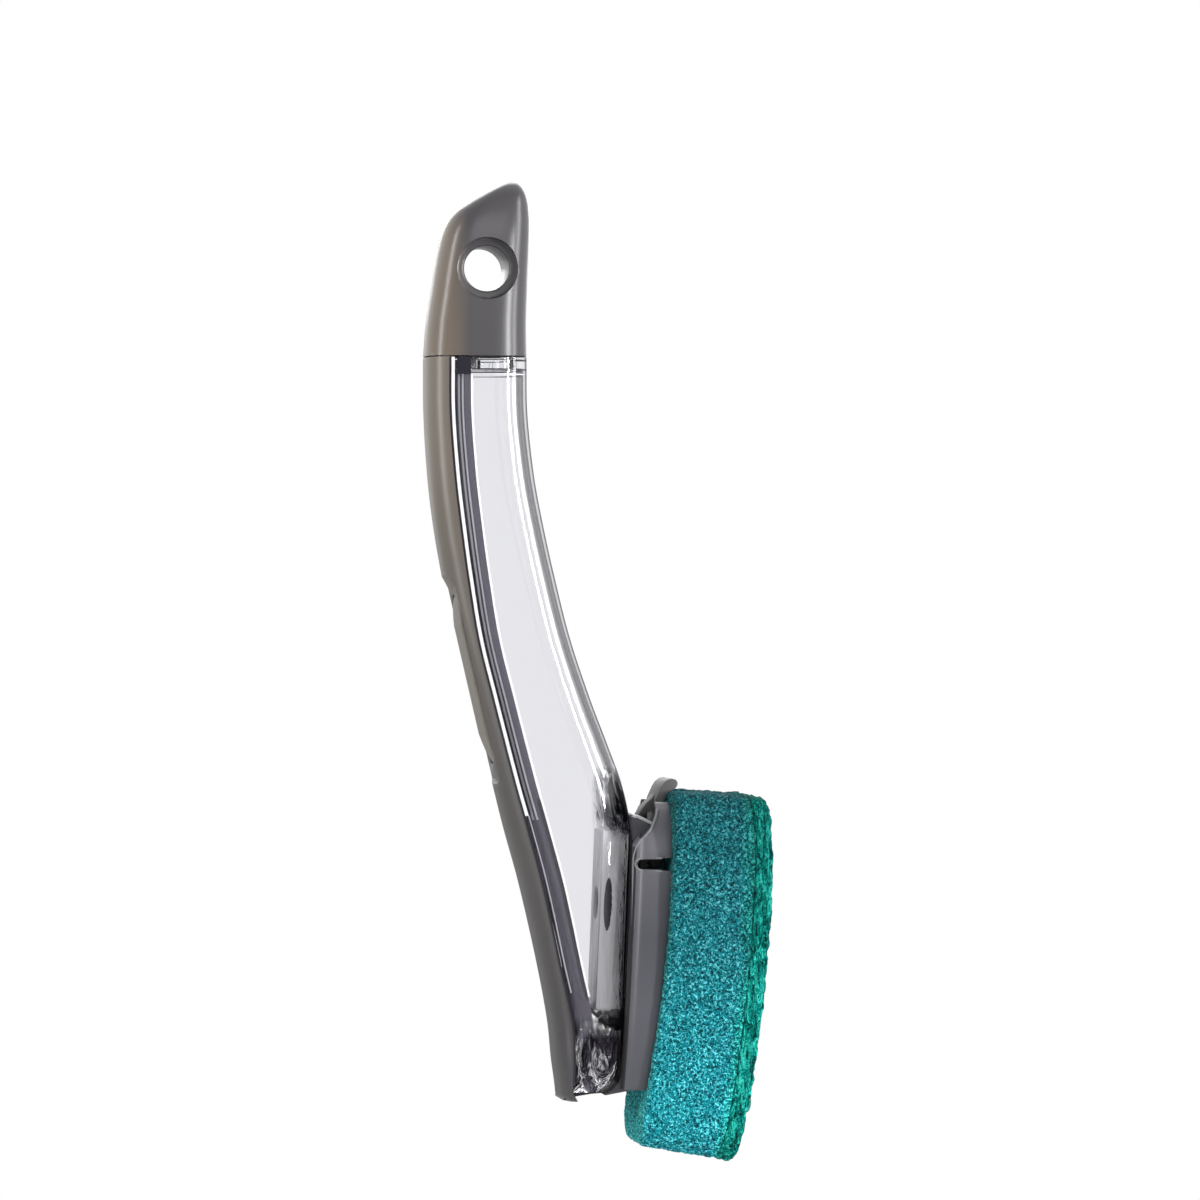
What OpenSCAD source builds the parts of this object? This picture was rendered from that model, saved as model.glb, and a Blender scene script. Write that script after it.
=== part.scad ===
// Soap-dispensing dish wand: a clear, curved soap reservoir with a rigid back,
// a pull-off hanging cap, a push button with a plunger and a slide-off sponge head.
// The wand stands upright, +Z towards the cap and +X towards the scrubbing face.
// The origin is the centre of the hanging hole. Everything is symmetric about Y = 0.

/* [Handle] */
// Wall of the clear reservoir
wall = 1.8; // [1.4:0.1:2.2]
// Thickness of the spine cover behind the button
spine_back = 3.6; // [3.4:0.1:4.2]
// Wall of the inner frame
frame_wall = 1.4; // [1:0.1:1.8]
// How far the inner frame shows in front of the seam
frame_reach = 4.4; // [3.8:0.1:5]
// Thickness of the front floor of the inner frame
frame_floor = 1.2; // [0.8:0.1:1.4]
// Thickness of the plates that close the handle at its top
top_plate = 2.8; // [1:0.1:3]
// Thickness of the solid clear foot
foot_floor = 13; // [12:0.2:14]

/* [Cap] */
// Radius of the hanging hole
hang_r = 5.5; // [4:0.25:6]
// Radius of the flat dimple around the hanging hole
dimple_r = 7.4; // [6.5:0.1:8]
// Length of the hanging hole between its dimples
hang_len = 18; // [14:0.5:21]
// Wall of the cap around its pocket
cap_wall = 1.7; // [1.2:0.1:2]
// Depth of the pocket under the cap
cap_pocket = 10.2; // [9:0.2:12]
// Radius of the filling hole in the neck
neck_bore_r = 5.9; // [5:0.1:6.2]
// Wall of the neck
neck_wall = 1.3; // [1:0.1:1.4]
// Height of the neck above the handle
neck_h = 8.2; // [6:0.2:8.6]

/* [Button] */
// Length of the button
button_len = 42; // [34:1:44]
// Width of the button
button_w = 15; // [12:0.5:15.5]
// Height of the button's crown above the thumb recess
button_crown = 1.8; // [1:0.1:2.2]
// Travel of the button
button_travel = 1.6; // [1:0.1:1.6]
// Radius of the plunger that the button pushes into the soap
plunger_r = 5.7; // [4:0.1:5.8]

/* [Outlet] */
// Radius of the slit valve
valve_r = 6.3; // [5:0.1:6.5]
// Thickness of the slit valve
valve_t = 2; // [1.5:0.1:2.2]
// Bore of the outlet
outlet_r = 2; // [1.5:0.1:2.5]
// Length of the outlet housing
housing_len = 44; // [30:1:46]
// Half width of the outlet housing
housing_half = 8.5; // [7.5:0.1:9]

/* [Head] */
// Wall of the head
head_wall = 1.8; // [1.4:0.1:2.2]
// Gap between the handle and the back of the head
head_gap = 0.4; // [0.3:0.05:0.5]
// Half width of the channel between the two rails
channel_half = 4; // [3.6:0.1:4.4]
// Thickness of the rail webs and flanges
rail_t = 1.5; // [1.2:0.1:1.6]
// Width of each rail flange beyond its web
rail_lip = 2; // [1.4:0.1:2.4]
// Thickness of the backing plate
plate_t = 1.6; // [1.2:0.1:1.8]
// Half width of the release tab
tab_half = 8; // [7:0.25:10]
// Thickness of the scrub layer
scrub_t = 5; // [3:0.25:7]

/* [Hidden] */
$fn = 64;

// Running clearance between pieces that move, fit clearance of pieces that don't
gap = 0.3;
fit = 0.05;
// Radial clearance of the sealing rings
seal_fit = 0.03;
// Squareness of the rounded handle section, 2 is an ellipse
square = 3.2;
taupe = [0.50, 0.47, 0.44];
grey = [0.40, 0.40, 0.42];
dark = [0.25, 0.24, 0.28];
clear = [0.86, 0.87, 0.89];
black = [0.10, 0.10, 0.11];
teal = [0.17, 0.52, 0.56];
green = [0.10, 0.56, 0.48];
white = [0.85, 0.85, 0.86];

// Side view of the handle, from the cap seam down: height, back, seam, front, half width
handle_rows = [
    [-21.5, -14.4, -9.2, 10.4, 12], [-35, -14.3, -9.1, 10.6, 12], [-50, -13.4, -8.0, 12.2, 12],
    [-62, -12.0, -6.6, 14.4, 12], [-75, -9.75, -4.8, 17.3, 12], [-90, -6.5, -2.3, 21.1, 12.2],
    [-105, -2.6, 1.4, 26.1, 12.6], [-116, 0.3, 4.2, 30.3, 13], [-126, 2.8, 6.8, 33.9, 13.4],
    [-136, 5.3, 9.6, 35.82, 13.7], [-150, 9.2, 13.3, 35.23, 14], [-170, 13.8, 17.6, 34.39, 14],
    [-184, 16.4, 20.6, 33.8, 13.8], [-193, 17.3, 21.0, 33.3, 13.5], [-198, 18.0, 20.9, 31.5, 12.8],
    [-200.4, 18.3, 20.8, 28.4, 11.8]];
// Side view of the cap, from its skirt up: height, back, front, half width
cap_rows = [
    [-21.2, -14.4, 10.4, 12], [-13, -13.8, 10.3, 12], [-6, -12.8, 10.5, 11.9],
    [1, -11.7, 10.8, 11.7], [7, -10.5, 11.1, 11.3], [11, -9.1, 11.2, 10.8], [14, -7.0, 11.1, 10.1],
    [16.5, -3.7, 10.8, 9.2], [18.5, -0.4, 10.3, 8.1], [20, 2.4, 9.6, 6.6], [21, 4.6, 8.8, 4.8],
    [21.6, 6.0, 7.9, 2.6]];
cap_base = cap_rows[0][0];
handle_top = handle_rows[0][0];
handle_foot = handle_rows[len(handle_rows) - 1][0];

// Sponge, from its top to its toe: share of the length, back X, back Z, front X, front Z, half width
sponge_rows = [
    [0, 44.6, -127.0, 67.4, -128.6, 20.5], [0.04, 44.1, -130.4, 68.0, -132.2, 24],
    [0.1, 43.9, -135.6, 68.3, -137.6, 25.6], [0.2, 43.6, -144.2, 68.4, -146.6, 26],
    [0.4, 42.6, -161.4, 67.6, -164.6, 25.2], [0.6, 40.9, -178.6, 66.1, -182.4, 23.2],
    [0.8, 38.7, -195.8, 64.1, -200.2, 20.4], [0.9, 37.5, -204.4, 62.7, -208.9, 18.6],
    [0.96, 37.0, -209.8, 61.6, -214.1, 16.4], [1, 37.1, -213.4, 60.4, -217.6, 12.5]];

// Slope of the front face that the head slides on, and a point of that face
rail_tilt = 2.4;
rail_x = 35.9;
rail_z = -134;
rail_top = 5;
rail_len = 39;
rail_base = 1.2;
// Slope and middle of the thumb recess in the back, and its ends
press_tilt = 13;
recess_top = [-7.6, -77.7];
recess_low = [3.2, -124.4];
press_at = [-2.45, -100];
// Hinge line of the release tab
tab_x = 41.6;
tab_z = -144.6;
tab_r = 1.3;
// Place of the outlet along the rail
outlet_down = 21;

neck_x = 1;
neck_r = neck_bore_r + neck_wall;
plug_r = neck_bore_r - gap;
ring_r = 1.1;
flange_t = 0.8;
web_out = channel_half + rail_t;
rail_out = head_gap + head_wall + gap;
housing_back = 7.2;

// Value of column c at height z, on a smooth curve through the rows
function slope(rows, c, i) =
    let (a = max(i - 1, 0), b = min(i + 1, len(rows) - 1))
    (rows[b][c] - rows[a][c]) / (rows[b][0] - rows[a][0]);
function row_of(rows, z, i = 0) =
    (i >= len(rows) - 2 || (rows[i + 1][0] - z) * (rows[1][0] - rows[0][0]) > 0)
    ? i : row_of(rows, z, i + 1);
function at(rows, c, z) =
    let (i = row_of(rows, z), h = rows[i + 1][0] - rows[i][0], t = (z - rows[i][0]) / h,
        p = rows[i][c], q = rows[i + 1][c], m = slope(rows, c, i) * h, n = slope(rows, c, i + 1) * h)
    p * (1 + 2 * t) * pow(1 - t, 2) + m * t * pow(1 - t, 2)
    + q * t * t * (3 - 2 * t) - n * t * t * (1 - t);

// Rounded section: back and front X, half width w, swept angle 0 at the back and 180 in front
function spow(v) = sign(v) * pow(abs(v), 2 / square);
function sec(back, front, w, a) =
    [(back + front) / 2 - (front - back) / 2 * spow(cos(a)), w * spow(sin(a))];
function sec_angle(back, front, x) =
    let (q = ((back + front) / 2 - x) / ((front - back) / 2))
    acos(sign(q) * pow(min(abs(q), 1), square / 2));
function arc(back, front, w, a0, a1, n) =
    [for (i = [0 : n - 1]) sec(back, front, w, a0 + (a1 - a0) * i / (n - 1))];

// Section of the handle at height z, drawn in by tb behind, tf in front and tw at the sides,
// between the two points where its side crosses X = x
function behind(z, x, tb, tw, n) =
    let (b = at(handle_rows, 1, z) + tb, f = at(handle_rows, 3, z) - tw,
        w = at(handle_rows, 4, z) - tw, a = sec_angle(b, f, x))
    arc(b, f, w, -a, a, n);
function ahead(z, x, t, n) =
    let (b = at(handle_rows, 1, z) + t, f = at(handle_rows, 3, z) - t,
        w = at(handle_rows, 4, z) - t, a = sec_angle(b, f, x))
    arc(b, f, w, a, 360 - a, n);
function seam(z) = at(handle_rows, 2, z);

// Solid through closed loops of [x, y, z] points, closed at each end around its middle
function mid(list) = [for (p = list) 1] * list / len(list);
function turn(loop) = [for (p = loop) 1] * [for (i = [0 : len(loop) - 1])
    let (p = loop[i], q = loop[(i + 1) % len(loop)]) p[0] * q[1] - q[0] * p[1]];
module loft(loops) {
    n = len(loops[0]);
    last = len(loops) - 1;
    points = concat([for (l = loops) each l], [mid(loops[0]), mid(loops[last])]);
    sides = [for (r = [0 : last - 1], i = [0 : n - 1])
        let (a = r * n + i, b = r * n + (i + 1) % n) each [[a, b, b + n], [a, b + n, a + n]]];
    first_end = [for (i = [0 : n - 1]) [n * last + n, (i + 1) % n, i]];
    last_end = [for (i = [0 : n - 1]) [n * last + n + 1, n * last + i, n * last + (i + 1) % n]];
    faces = concat(sides, first_end, last_end);
    down = loops[0][0][2] > loops[last][0][2];
    polyhedron(points, (turn(loops[1]) > 0) == down ? faces : [for (f = faces) [f[0], f[2], f[1]]],
        convexity = 6);
}
function lift(points, z) = [for (p = points) [p[0], p[1], z]];
function back_run(points) = [for (i = [len(points) - 1 : -1 : 0]) points[i]];
function steps(top, low, n) = [for (i = [0 : n]) top + (low - top) * i / n];

// Places a shape at the face that the head slides on: local X outwards, local -Z down the face
module on_rail(down = 0) {
    translate([rail_x, 0, rail_z]) rotate([0, rail_tilt, 0]) translate([0, 0, -down]) children();
}
// Places a shape at the button: local X presses inwards
module on_press() {
    translate([press_at[0], 0, press_at[1]]) rotate([0, -press_tilt, 0]) children();
}
// Rod along local X between two places
module rod(r, from, to) {
    translate([from, 0, 0]) rotate([0, 90, 0]) cylinder(r = r, h = to - from);
}
module box(low, high) { translate(low) cube(high - low); }
// Plate with round ends, long along local Z, thick along local X
module stadium(len, w, from, to) {
    translate([from, 0, 0]) rotate([0, 90, 0]) linear_extrude(to - from) {
        square([len - w, w], center = true);
        for (s = [-1, 1]) translate([s * (len - w) / 2, 0]) circle(d = w);
    }
}
// Outline in the XZ plane, thick along Y
module side_plate(points, half) {
    rotate([90, 0, 0]) linear_extrude(2 * half, center = true) polygon(points);
}

// Cap

module cap_body(inset, low, high) {
    heights = [for (r = cap_rows) if (r[0] >= low && r[0] <= high) r[0]];
    all = concat([low], [for (h = heights) if (h > low && h < high) h], [high]);
    loft([for (z = all) lift(arc(at(cap_rows, 1, z) + inset, at(cap_rows, 2, z) - inset,
        at(cap_rows, 3, z) - inset, 0, 360 - 360 / 40, 40), z)]);
}
module cap_shell() {
    color(taupe) difference() {
        cap_body(0, cap_base, 21.6);
        cap_body(cap_wall, cap_base - 0.001, cap_base + cap_pocket);
        rotate([90, 0, 0]) cylinder(r = hang_r, h = 40, center = true);
        for (s = [-1, 1]) translate([0, s * (hang_len / 2 + 10), 0])
            rotate([90, 0, 0]) cylinder(r = dimple_r, h = 20, center = true);
    }
}
plug_top = cap_base + cap_pocket;
plug_low = handle_top + neck_h - 6.4;
ring_z = plug_low + 2.6;
module cap_plug() {
    color(white) translate([neck_x, 0, 0]) difference() {
        union() {
            translate([0, 0, handle_top + neck_h + gap])
                cylinder(r = neck_r - 0.2, h = plug_top - handle_top - neck_h - gap);
            translate([0, 0, plug_low]) cylinder(r = plug_r, h = plug_top - plug_low);
        }
        translate([0, 0, ring_z]) rotate_extrude()
            translate([neck_bore_r - seal_fit - 2 * ring_r - fit, -ring_r - fit])
            square([2 * ring_r + 1, 2 * ring_r + 2 * fit]);
    }
}
module cap_seal_ring() {
    color(black) translate([neck_x, 0, ring_z]) rotate_extrude()
        translate([neck_bore_r - seal_fit - ring_r, 0]) circle(r = ring_r, $fn = 24);
}

// Handle

handle_steps = concat([handle_top, -26], steps(-32, -192, 20), [-195.5, -198, -199.6, handle_foot]);
cavity_steps = concat([handle_top - top_plate, -27], steps(-32, -184, 19), [handle_foot + foot_floor]);
module reservoir_shell() {
    color(clear) difference() {
        union() {
            loft([for (z = handle_steps) lift(ahead(z, seam(z) + fit, 0, 25), z)]);
            translate([neck_x, 0, handle_top - 1]) cylinder(r = neck_r, h = neck_h + 1);
        }
        difference() {
            loft([for (z = cavity_steps) lift(ahead(z, seam(z) - 1, wall, 25), z)]);
            on_rail(outlet_down) rod(boss_r, seal_x, 0);
        }
        translate([neck_x, 0, handle_top - top_plate - 1])
            cylinder(r = neck_bore_r, h = top_plate + neck_h + 2);
        on_rail(outlet_down) rod(outlet_r + 1.2 + fit, -wall - 3, 3);
        on_rail() box([0, -web_out - gap, -rail_top - rail_len - gap], [3, web_out + gap, 0]);
    }
}
frame_top = handle_top - top_plate - fit;
frame_low = handle_foot + foot_floor + fit;
function back(z) = at(handle_rows, 1, z);
function mirrored(points) = [for (p = points) [p[0], -p[1]]];
// Section of the handle's inside between X = x0 and x1, drawn in by t
function inside_loop(z, x0, x1, t) =
    let (b = back(z) + t, f = at(handle_rows, 3, z) - t, w = at(handle_rows, 4, z) - t,
        side = arc(b, f, w, sec_angle(b, f, x0), sec_angle(b, f, x1), 8))
    concat(side, back_run(mirrored(side)));
lip_h = 2.3;
module spine_cover() {
    lip = behind(handle_foot, seam(handle_foot) + 1.3, 0.6, 0.4, 17);
    color(taupe) difference() {
        loft(concat([for (z = handle_steps) lift(behind(z, seam(z) - fit, 0, 0, 17), z)],
            [lift(lip, handle_foot - lip_h)]));
        loft([for (z = cavity_steps) lift(inside_loop(z, back(z) + spine_back, seam(z) + 1, wall), z)]);
        side_plate([[-30, -74.4], recess_top - [2.3, -3.2], recess_top, recess_low,
            recess_low - [0.5, 1.6], [-30, -128]], 20);
        on_press() stadium(button_len + 2 * gap, button_w + 2 * gap, -3, 9);
        flange_pocket(spine_in, 9);
    }
}
// Room for the flange of the button, which is wider than its opening
module flange_pocket(from, to) {
    on_press() stadium(button_len + 4, button_w + 2.2, from, to);
}
module inner_frame() {
    frame_steps = concat([frame_top, -27], steps(-32, -184, 19), [frame_low]);
    hollow_steps = concat([frame_top - 3], steps(-32, -184, 19), [frame_low + 1.5]);
    rear = spine_back + 1.2;
    play = wall + 5 * fit;
    color(dark) difference() {
        loft([for (z = frame_steps) lift(inside_loop(z, back(z) + rear,
            seam(z) + frame_reach, play), z)]);
        loft([for (z = hollow_steps) let (x0 = back(z), x1 = seam(z) + frame_reach - frame_floor,
            h = at(handle_rows, 4, z) * 0.7 - frame_wall)
            lift([[x0, -h], [x0, h], [x1, h], [x1, -h]], z)]);
        flange_pocket(-1, frame_in);
        on_press() {
            rod(plunger_r + gap, frame_in - 3, frame_in + 6);
            ring(plunger_r + gap - 0.1, seal_out + fit, seal_at - lip_r - fit, seal_at + lip_r + fit);
            ring(spring_mid - spring_r - fit, spring_mid + spring_r + fit, frame_in - 0.1, spring_at
                + spring_r + fit);
        }
    }
}
// Places along the press axis, from the floor of the thumb recess inwards
spine_in = spine_back - 1.2;
button_foot = spine_in + 0.1 + flange_t;
frame_in = button_foot + button_travel + 0.15;
// Rings around the plunger: the seal in its hole and one turn of the spring, by radius and place
lip_r = 0.4;
seal_mid = plunger_r + seal_fit + lip_r;
seal_out = seal_mid + lip_r;
seal_at = frame_in + 0.8;
spring_r = 0.4;
spring_mid = plunger_r + 2.3;
spring_at = frame_in + 0.15 + spring_r;
module ring(r0, r1, from, to) {
    difference() {
        rod(r1, from, to);
        rod(r0, from - 1, to + 1);
    }
}
module return_spring() {
    color(white) on_press() translate([spring_at, 0, 0]) rotate([0, 90, 0])
        rotate_extrude() translate([spring_mid, 0]) circle(r = spring_r, $fn = 16);
}
// Places along the outlet, outwards from the reservoir
seal_t = 0.6;
boss_r = 4.6;
valve_x = -6.5;
seal_x = -wall - 0.6;
flange_x = seal_x - fit - seal_t;
retainer_x = flange_x - 0.6;
module outlet_housing() {
    color(grey) on_rail(outlet_down) difference() {
        union() {
            box([-housing_back, -housing_half, 18 - housing_len], [-wall - 1.6, housing_half, 18]);
            box([-housing_back, -6.8, 18.4 - housing_len], [-wall - 0.9, 6.8, 17.4]);
        }
        box([valve_x, -20, -valve_r - 0.2], [valve_x + valve_t + 0.2, 20, valve_r + 0.2]);
        rod(outlet_r + 2, -housing_back - 1, valve_x + 0.5);
        rod(boss_r + fit, valve_x + 1, 0);
    }
}
module slit_valve() {
    color(black) on_rail(outlet_down) difference() {
        rod(valve_r, valve_x + 0.1, valve_x + 0.1 + valve_t);
        box([valve_x - 1, -3, -0.15], [valve_x + 4, 3, 0.15]);
    }
}
module valve_retainer() {
    color(white) on_rail(outlet_down) difference() {
        rod(boss_r - fit, valve_x + 0.15 + valve_t, retainer_x);
        rod(outlet_r, -6, 0);
    }
}
module soap_nozzle() {
    color(grey) on_rail(outlet_down) difference() {
        union() {
            rod(boss_r - fit, retainer_x + fit, flange_x);
            rod(outlet_r + 1.2, retainer_x + fit, rail_base + 0.2);
        }
        rod(outlet_r, -6, 6);
    }
}
module nozzle_seal() {
    color(black) on_rail(outlet_down) difference() {
        rod(boss_r - fit, flange_x, seal_x - fit);
        rod(outlet_r + 1.2 + fit, -6, 6);
    }
}
module head_rail() {
    color(grey) difference() {
        union() {
            on_rail() box([fit, -web_out, -rail_top - rail_len], [rail_base, web_out, -rail_top + 1]);
            for (s = [-1, 1]) {
                on_rail() translate([fit, s > 0 ? channel_half : -web_out, -rail_top - rail_len])
                    cube([rail_out + rail_t - fit, rail_t, rail_len]);
                on_rail() translate([rail_out, s > 0 ? channel_half : -web_out - rail_lip,
                    -rail_top - rail_len]) cube([rail_t, rail_t + rail_lip, rail_len]);
                translate([0, s * (channel_half + tab_half) / 2, 0])
                    side_plate([[36.0, -133.5], [37.0, -133.4], [41.0, -135.3], [41.0, -136.4],
                    [38.9, -139.2], [35.9, -139.2]], (tab_half - channel_half) / 2);
            }
        }
        on_rail(outlet_down) rod(outlet_r + 1.2 + fit, -3, 6);
    }
}

// Button

module soap_button() {
    crown_r = (pow(button_len / 2, 2) + pow(button_crown, 2)) / (2 * button_crown);
    color(taupe) on_press() {
        intersection() {
            stadium(button_len, button_w, -button_crown, spine_in + 0.1);
            translate([crown_r - button_crown, 0, 0]) rotate([90, 0, 0])
                cylinder(r = crown_r, h = 40, center = true, $fn = 180);
        }
        stadium(button_len + 3, button_w + 1.4, spine_in + 0.1, button_foot);
    }
}
module button_plunger() {
    color(white) on_press() rod(plunger_r, button_foot, frame_in + 1.2);
}
module plunger_seal() {
    color(black) on_press() translate([seal_at, 0, 0]) rotate([0, 90, 0])
        rotate_extrude() translate([seal_mid, 0]) circle(r = lip_r, $fn = 24);
}

// Head

function back_x(z) = let (r = [for (s = sponge_rows) [s[2], s[1]]]) at(r, 1, z);
head_rows = [[-129.8, 13], [-132, 16.4], [-136, 19.4], [-142, 21.3], [-152, 22], [-170, 21.4],
    [-184, 19.8], [-193, 18], [-199.6, 16.4]];
head_top = head_rows[0][0];
head_low = head_rows[len(head_rows) - 1][0];
// Back of the head at height z, in the middle
function face_x(z) = rail_x - tan(rail_tilt) * (rail_z - z);
function head_loop(z, t, front) =
    let (b = face_x(z) + t, w = at(head_rows, 1, z), f = back_x(z) - fit + front,
        side = [[f, w - t], [b + 2.6, w * 0.985 - t], [b + 0.5, w * 0.93 - t],
            [b - 0.6, w * 0.84 - t / 2], [b - 0.9, w * 0.74 - t / 4], [b - 0.5, w * 0.6],
            [b + head_gap, w * 0.38]])
    concat(side, back_run(mirrored(side)));
bar_z = [tab_z - tab_r - gap - 3, tab_z - tab_r - gap];
module head_shell() {
    head_steps = concat([head_top, -131, -132.5, -134.5], steps(-137, -192, 8), [-196, head_low]);
    inner_steps = concat([head_top + 0.5, -131, -132.5, -134.5], steps(-137, -192, 8),
        [head_low + head_wall]);
    color(grey) difference() {
        union() {
            difference() {
                loft([for (z = head_steps) lift(head_loop(z, 0, 0), z)]);
                loft([for (z = inner_steps) lift(head_loop(z, head_wall, 1), z)]);
            }
            box([rail_out_x + gap, -20.5, bar_z[0]], [43.1, 20.5, bar_z[1]]);
            side_plate([[34.2, -191], [33.9, -193.5], [33.4, -195.8], [32.2, -198.4], [30.6, -200.2],
                [29.0, -200.9], [29.0, -201.3], [33, -200.6], [36.4, -199.9], [37.8, -199.5],
                [37.4, -198], [35.2, -197.6], [35.1, -191]], 9);
        }
        side_plate([[10, -144.4], [34.0, -144.4], [35.2, -140.5], [37.4, -137.7], [39.7, -134.4],
            [40.8, -131.2], [40.9, -110], [10, -110]], 40);
        side_plate([[30, -140], [40.4, -140], [40.4, -110], [30, -110]], tab_half + gap + 0.2);
        on_rail() box([-5, -web_out - gap, -rail_top - rail_len - gap], [rail_out + rail_t / 2,
            web_out + gap, 20]);
        on_rail() box([rail_out - 0.1, -web_out - rail_lip - gap, -rail_top - rail_len - gap],
            [rail_out + rail_t + gap, web_out + rail_lip + gap, 20]);
        for (s = [-1, 1]) translate([0, s * 20, 0]) {
            translate([36.6, 0, -144.6]) rotate([90, 0, 0]) cylinder(r = 1.2, h = 12, center = true);
            side_plate([[36.4, -143.4], [50, -142.6], [50, -146.6], [36.4, -145.8]], 6);
        }
    }
}
rail_out_x = face_x(-147) + rail_out + rail_t;
module backing_plate() {
    plate_steps = steps(bar_z[0] - 0.4, head_low + head_wall + 0.3, 8);
    color(white) difference() {
        loft([for (z = plate_steps) let (b = back_x(z) - fit, w = at(head_rows, 1, z) * 0.97 - head_wall - gap)
            [[b, -w, z], [b, w, z], [b - plate_t, w, z], [b - plate_t, -w, z]]]);
        on_rail(outlet_down) rod(3, 0, 20);
        for (d = [33, 42], s = [-1, 1]) on_rail(d) translate([0, s * 7, 0]) rod(2, 0, 20);
    }
}
// Point of the sponge: share s of its length, share u from back to front, y
function sponge_at(s, u, y) =
    [at(sponge_rows, 1, s) * (1 - u) + at(sponge_rows, 3, s) * u, y,
    at(sponge_rows, 2, s) * (1 - u) + at(sponge_rows, 4, s) * u];
function sponge_deep(s) = at(sponge_rows, 3, s) - at(sponge_rows, 1, s);
// Ring around the block between the depths d0 and d1 (mm from the back), drawn in by t
function pad_ring(s, d0, d1, t) =
    let (w = at(sponge_rows, 5, s) - t, deep = sponge_deep(s), r = 1.2, d = [d0 + t, d1 - t])
    [for (p = [[d[0], -w + r], [d[0], -w / 2], [d[0], 0], [d[0], w / 2], [d[0], w - r], [d[0] + r, w],
        [(d[0] + d[1]) / 2, w + 0.1], [d[1] - r, w], [d[1], w - r], [d[1], w / 2], [d[1], 0],
        [d[1], -w / 2], [d[1], -w + r], [d[1] - r, -w], [(d[0] + d[1]) / 2, -w - 0.1], [d[0] + r, -w]])
        sponge_at(s, p[0] / deep, p[1])];
sponge_steps = concat([0, 0.015, 0.04, 0.07], steps(0.1, 0.9, 10), [0.93, 0.96, 0.985, 1]);
module sponge() {
    color(teal) difference() {
        loft([for (s = sponge_steps) pad_ring(s, 0, sponge_deep(s) - scrub_t, s == 0 || s == 1 ? 1 : 0)]);
        side_plate([[30, -110], [50.6, -110], [50.6, -129.4], [45.4, -146.4], [30, -146.4]],
            tab_half + 1);
    }
}
module scrub_layer() {
    color(green) loft([for (s = sponge_steps) pad_ring(s, sponge_deep(s) - scrub_t + fit, sponge_deep(s),
        s == 0 || s == 1 ? 0.8 : 0)]);
}

// Release tab

module release_tab() {
    color(grey) {
        translate([tab_x, 0, tab_z]) rotate([90, 0, 0]) cylinder(r = tab_r, h = 2 * tab_half, center = true);
        side_plate([[40.6, -144.4], [42.8, -144.4], [43.3, -131], [44.8, -127.4], [46.6, -126.4],
            [47.0, -125.2], [45.6, -124.2], [43.6, -125.2], [42.2, -127.8], [41.6, -129.2],
            [41.7, -134]], tab_half);
        side_plate([[41.9, -128.2], [41.3, -129.1], [39.9, -130.3], [38.8, -131.8], [38.0, -133.0],
            [39.0, -133.3], [42.0, -131.6]], channel_half - 0.4);
    }
}

cap_shell();
cap_plug();
cap_seal_ring();
reservoir_shell();
spine_cover();
inner_frame();
return_spring();
outlet_housing();
slit_valve();
valve_retainer();
soap_nozzle();
nozzle_seal();
head_rail();
soap_button();
button_plunger();
plunger_seal();
head_shell();
backing_plate();
sponge();
scrub_layer();
release_tab();
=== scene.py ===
"""Looks of a soap-dispensing dish wand: clear reservoir, taupe spine and cap, grey head, teal sponge.

Lengths are in millimetres until a mesh is made, which is in metres. The wand stands upright, +Z towards
the cap and +X towards the scrub face, and its origin is the centre of the hanging hole.
"""

import math

import bmesh
import bpy
import numpy as np
from mathutils import Matrix, Vector, noise


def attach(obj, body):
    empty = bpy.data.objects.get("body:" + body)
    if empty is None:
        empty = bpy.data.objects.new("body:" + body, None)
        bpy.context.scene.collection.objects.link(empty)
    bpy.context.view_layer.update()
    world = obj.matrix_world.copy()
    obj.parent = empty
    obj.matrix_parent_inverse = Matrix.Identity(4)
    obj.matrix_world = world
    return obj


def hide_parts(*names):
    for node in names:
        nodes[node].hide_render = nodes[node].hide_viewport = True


MM = 0.001
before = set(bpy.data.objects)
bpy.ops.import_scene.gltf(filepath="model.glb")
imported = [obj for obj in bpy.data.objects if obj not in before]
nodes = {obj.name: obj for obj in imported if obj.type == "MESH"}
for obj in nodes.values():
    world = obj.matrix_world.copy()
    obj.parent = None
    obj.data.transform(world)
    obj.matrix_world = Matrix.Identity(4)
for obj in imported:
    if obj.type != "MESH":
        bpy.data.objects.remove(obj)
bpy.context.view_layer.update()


# Numbers of the part's source

SQUARE = 3.2
WALL = 1.8
SPINE_BACK = 3.6
FRAME_REACH = 4.4
TOP_PLATE, FOOT = 2.8, 13
# Z, then X of back, seam and front, and half width
HANDLE_ROWS = [
    (-21.5, -14.4, -9.2, 10.4, 12), (-35, -14.3, -9.1, 10.6, 12), (-50, -13.4, -8.0, 12.2, 12),
    (-62, -12.0, -6.6, 14.4, 12), (-75, -9.75, -4.8, 17.3, 12), (-90, -6.5, -2.3, 21.1, 12.2),
    (-105, -2.6, 1.4, 26.1, 12.6), (-116, 0.3, 4.2, 30.3, 13), (-126, 2.8, 6.8, 33.9, 13.4),
    (-136, 5.3, 9.6, 35.82, 13.7), (-150, 9.2, 13.3, 35.23, 14), (-170, 13.8, 17.6, 34.39, 14),
    (-184, 16.4, 20.6, 33.8, 13.8), (-193, 17.3, 21.0, 33.3, 13.5), (-198, 18.0, 20.9, 31.5, 12.8),
    (-200.4, 18.3, 20.8, 28.4, 11.8)]
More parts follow.
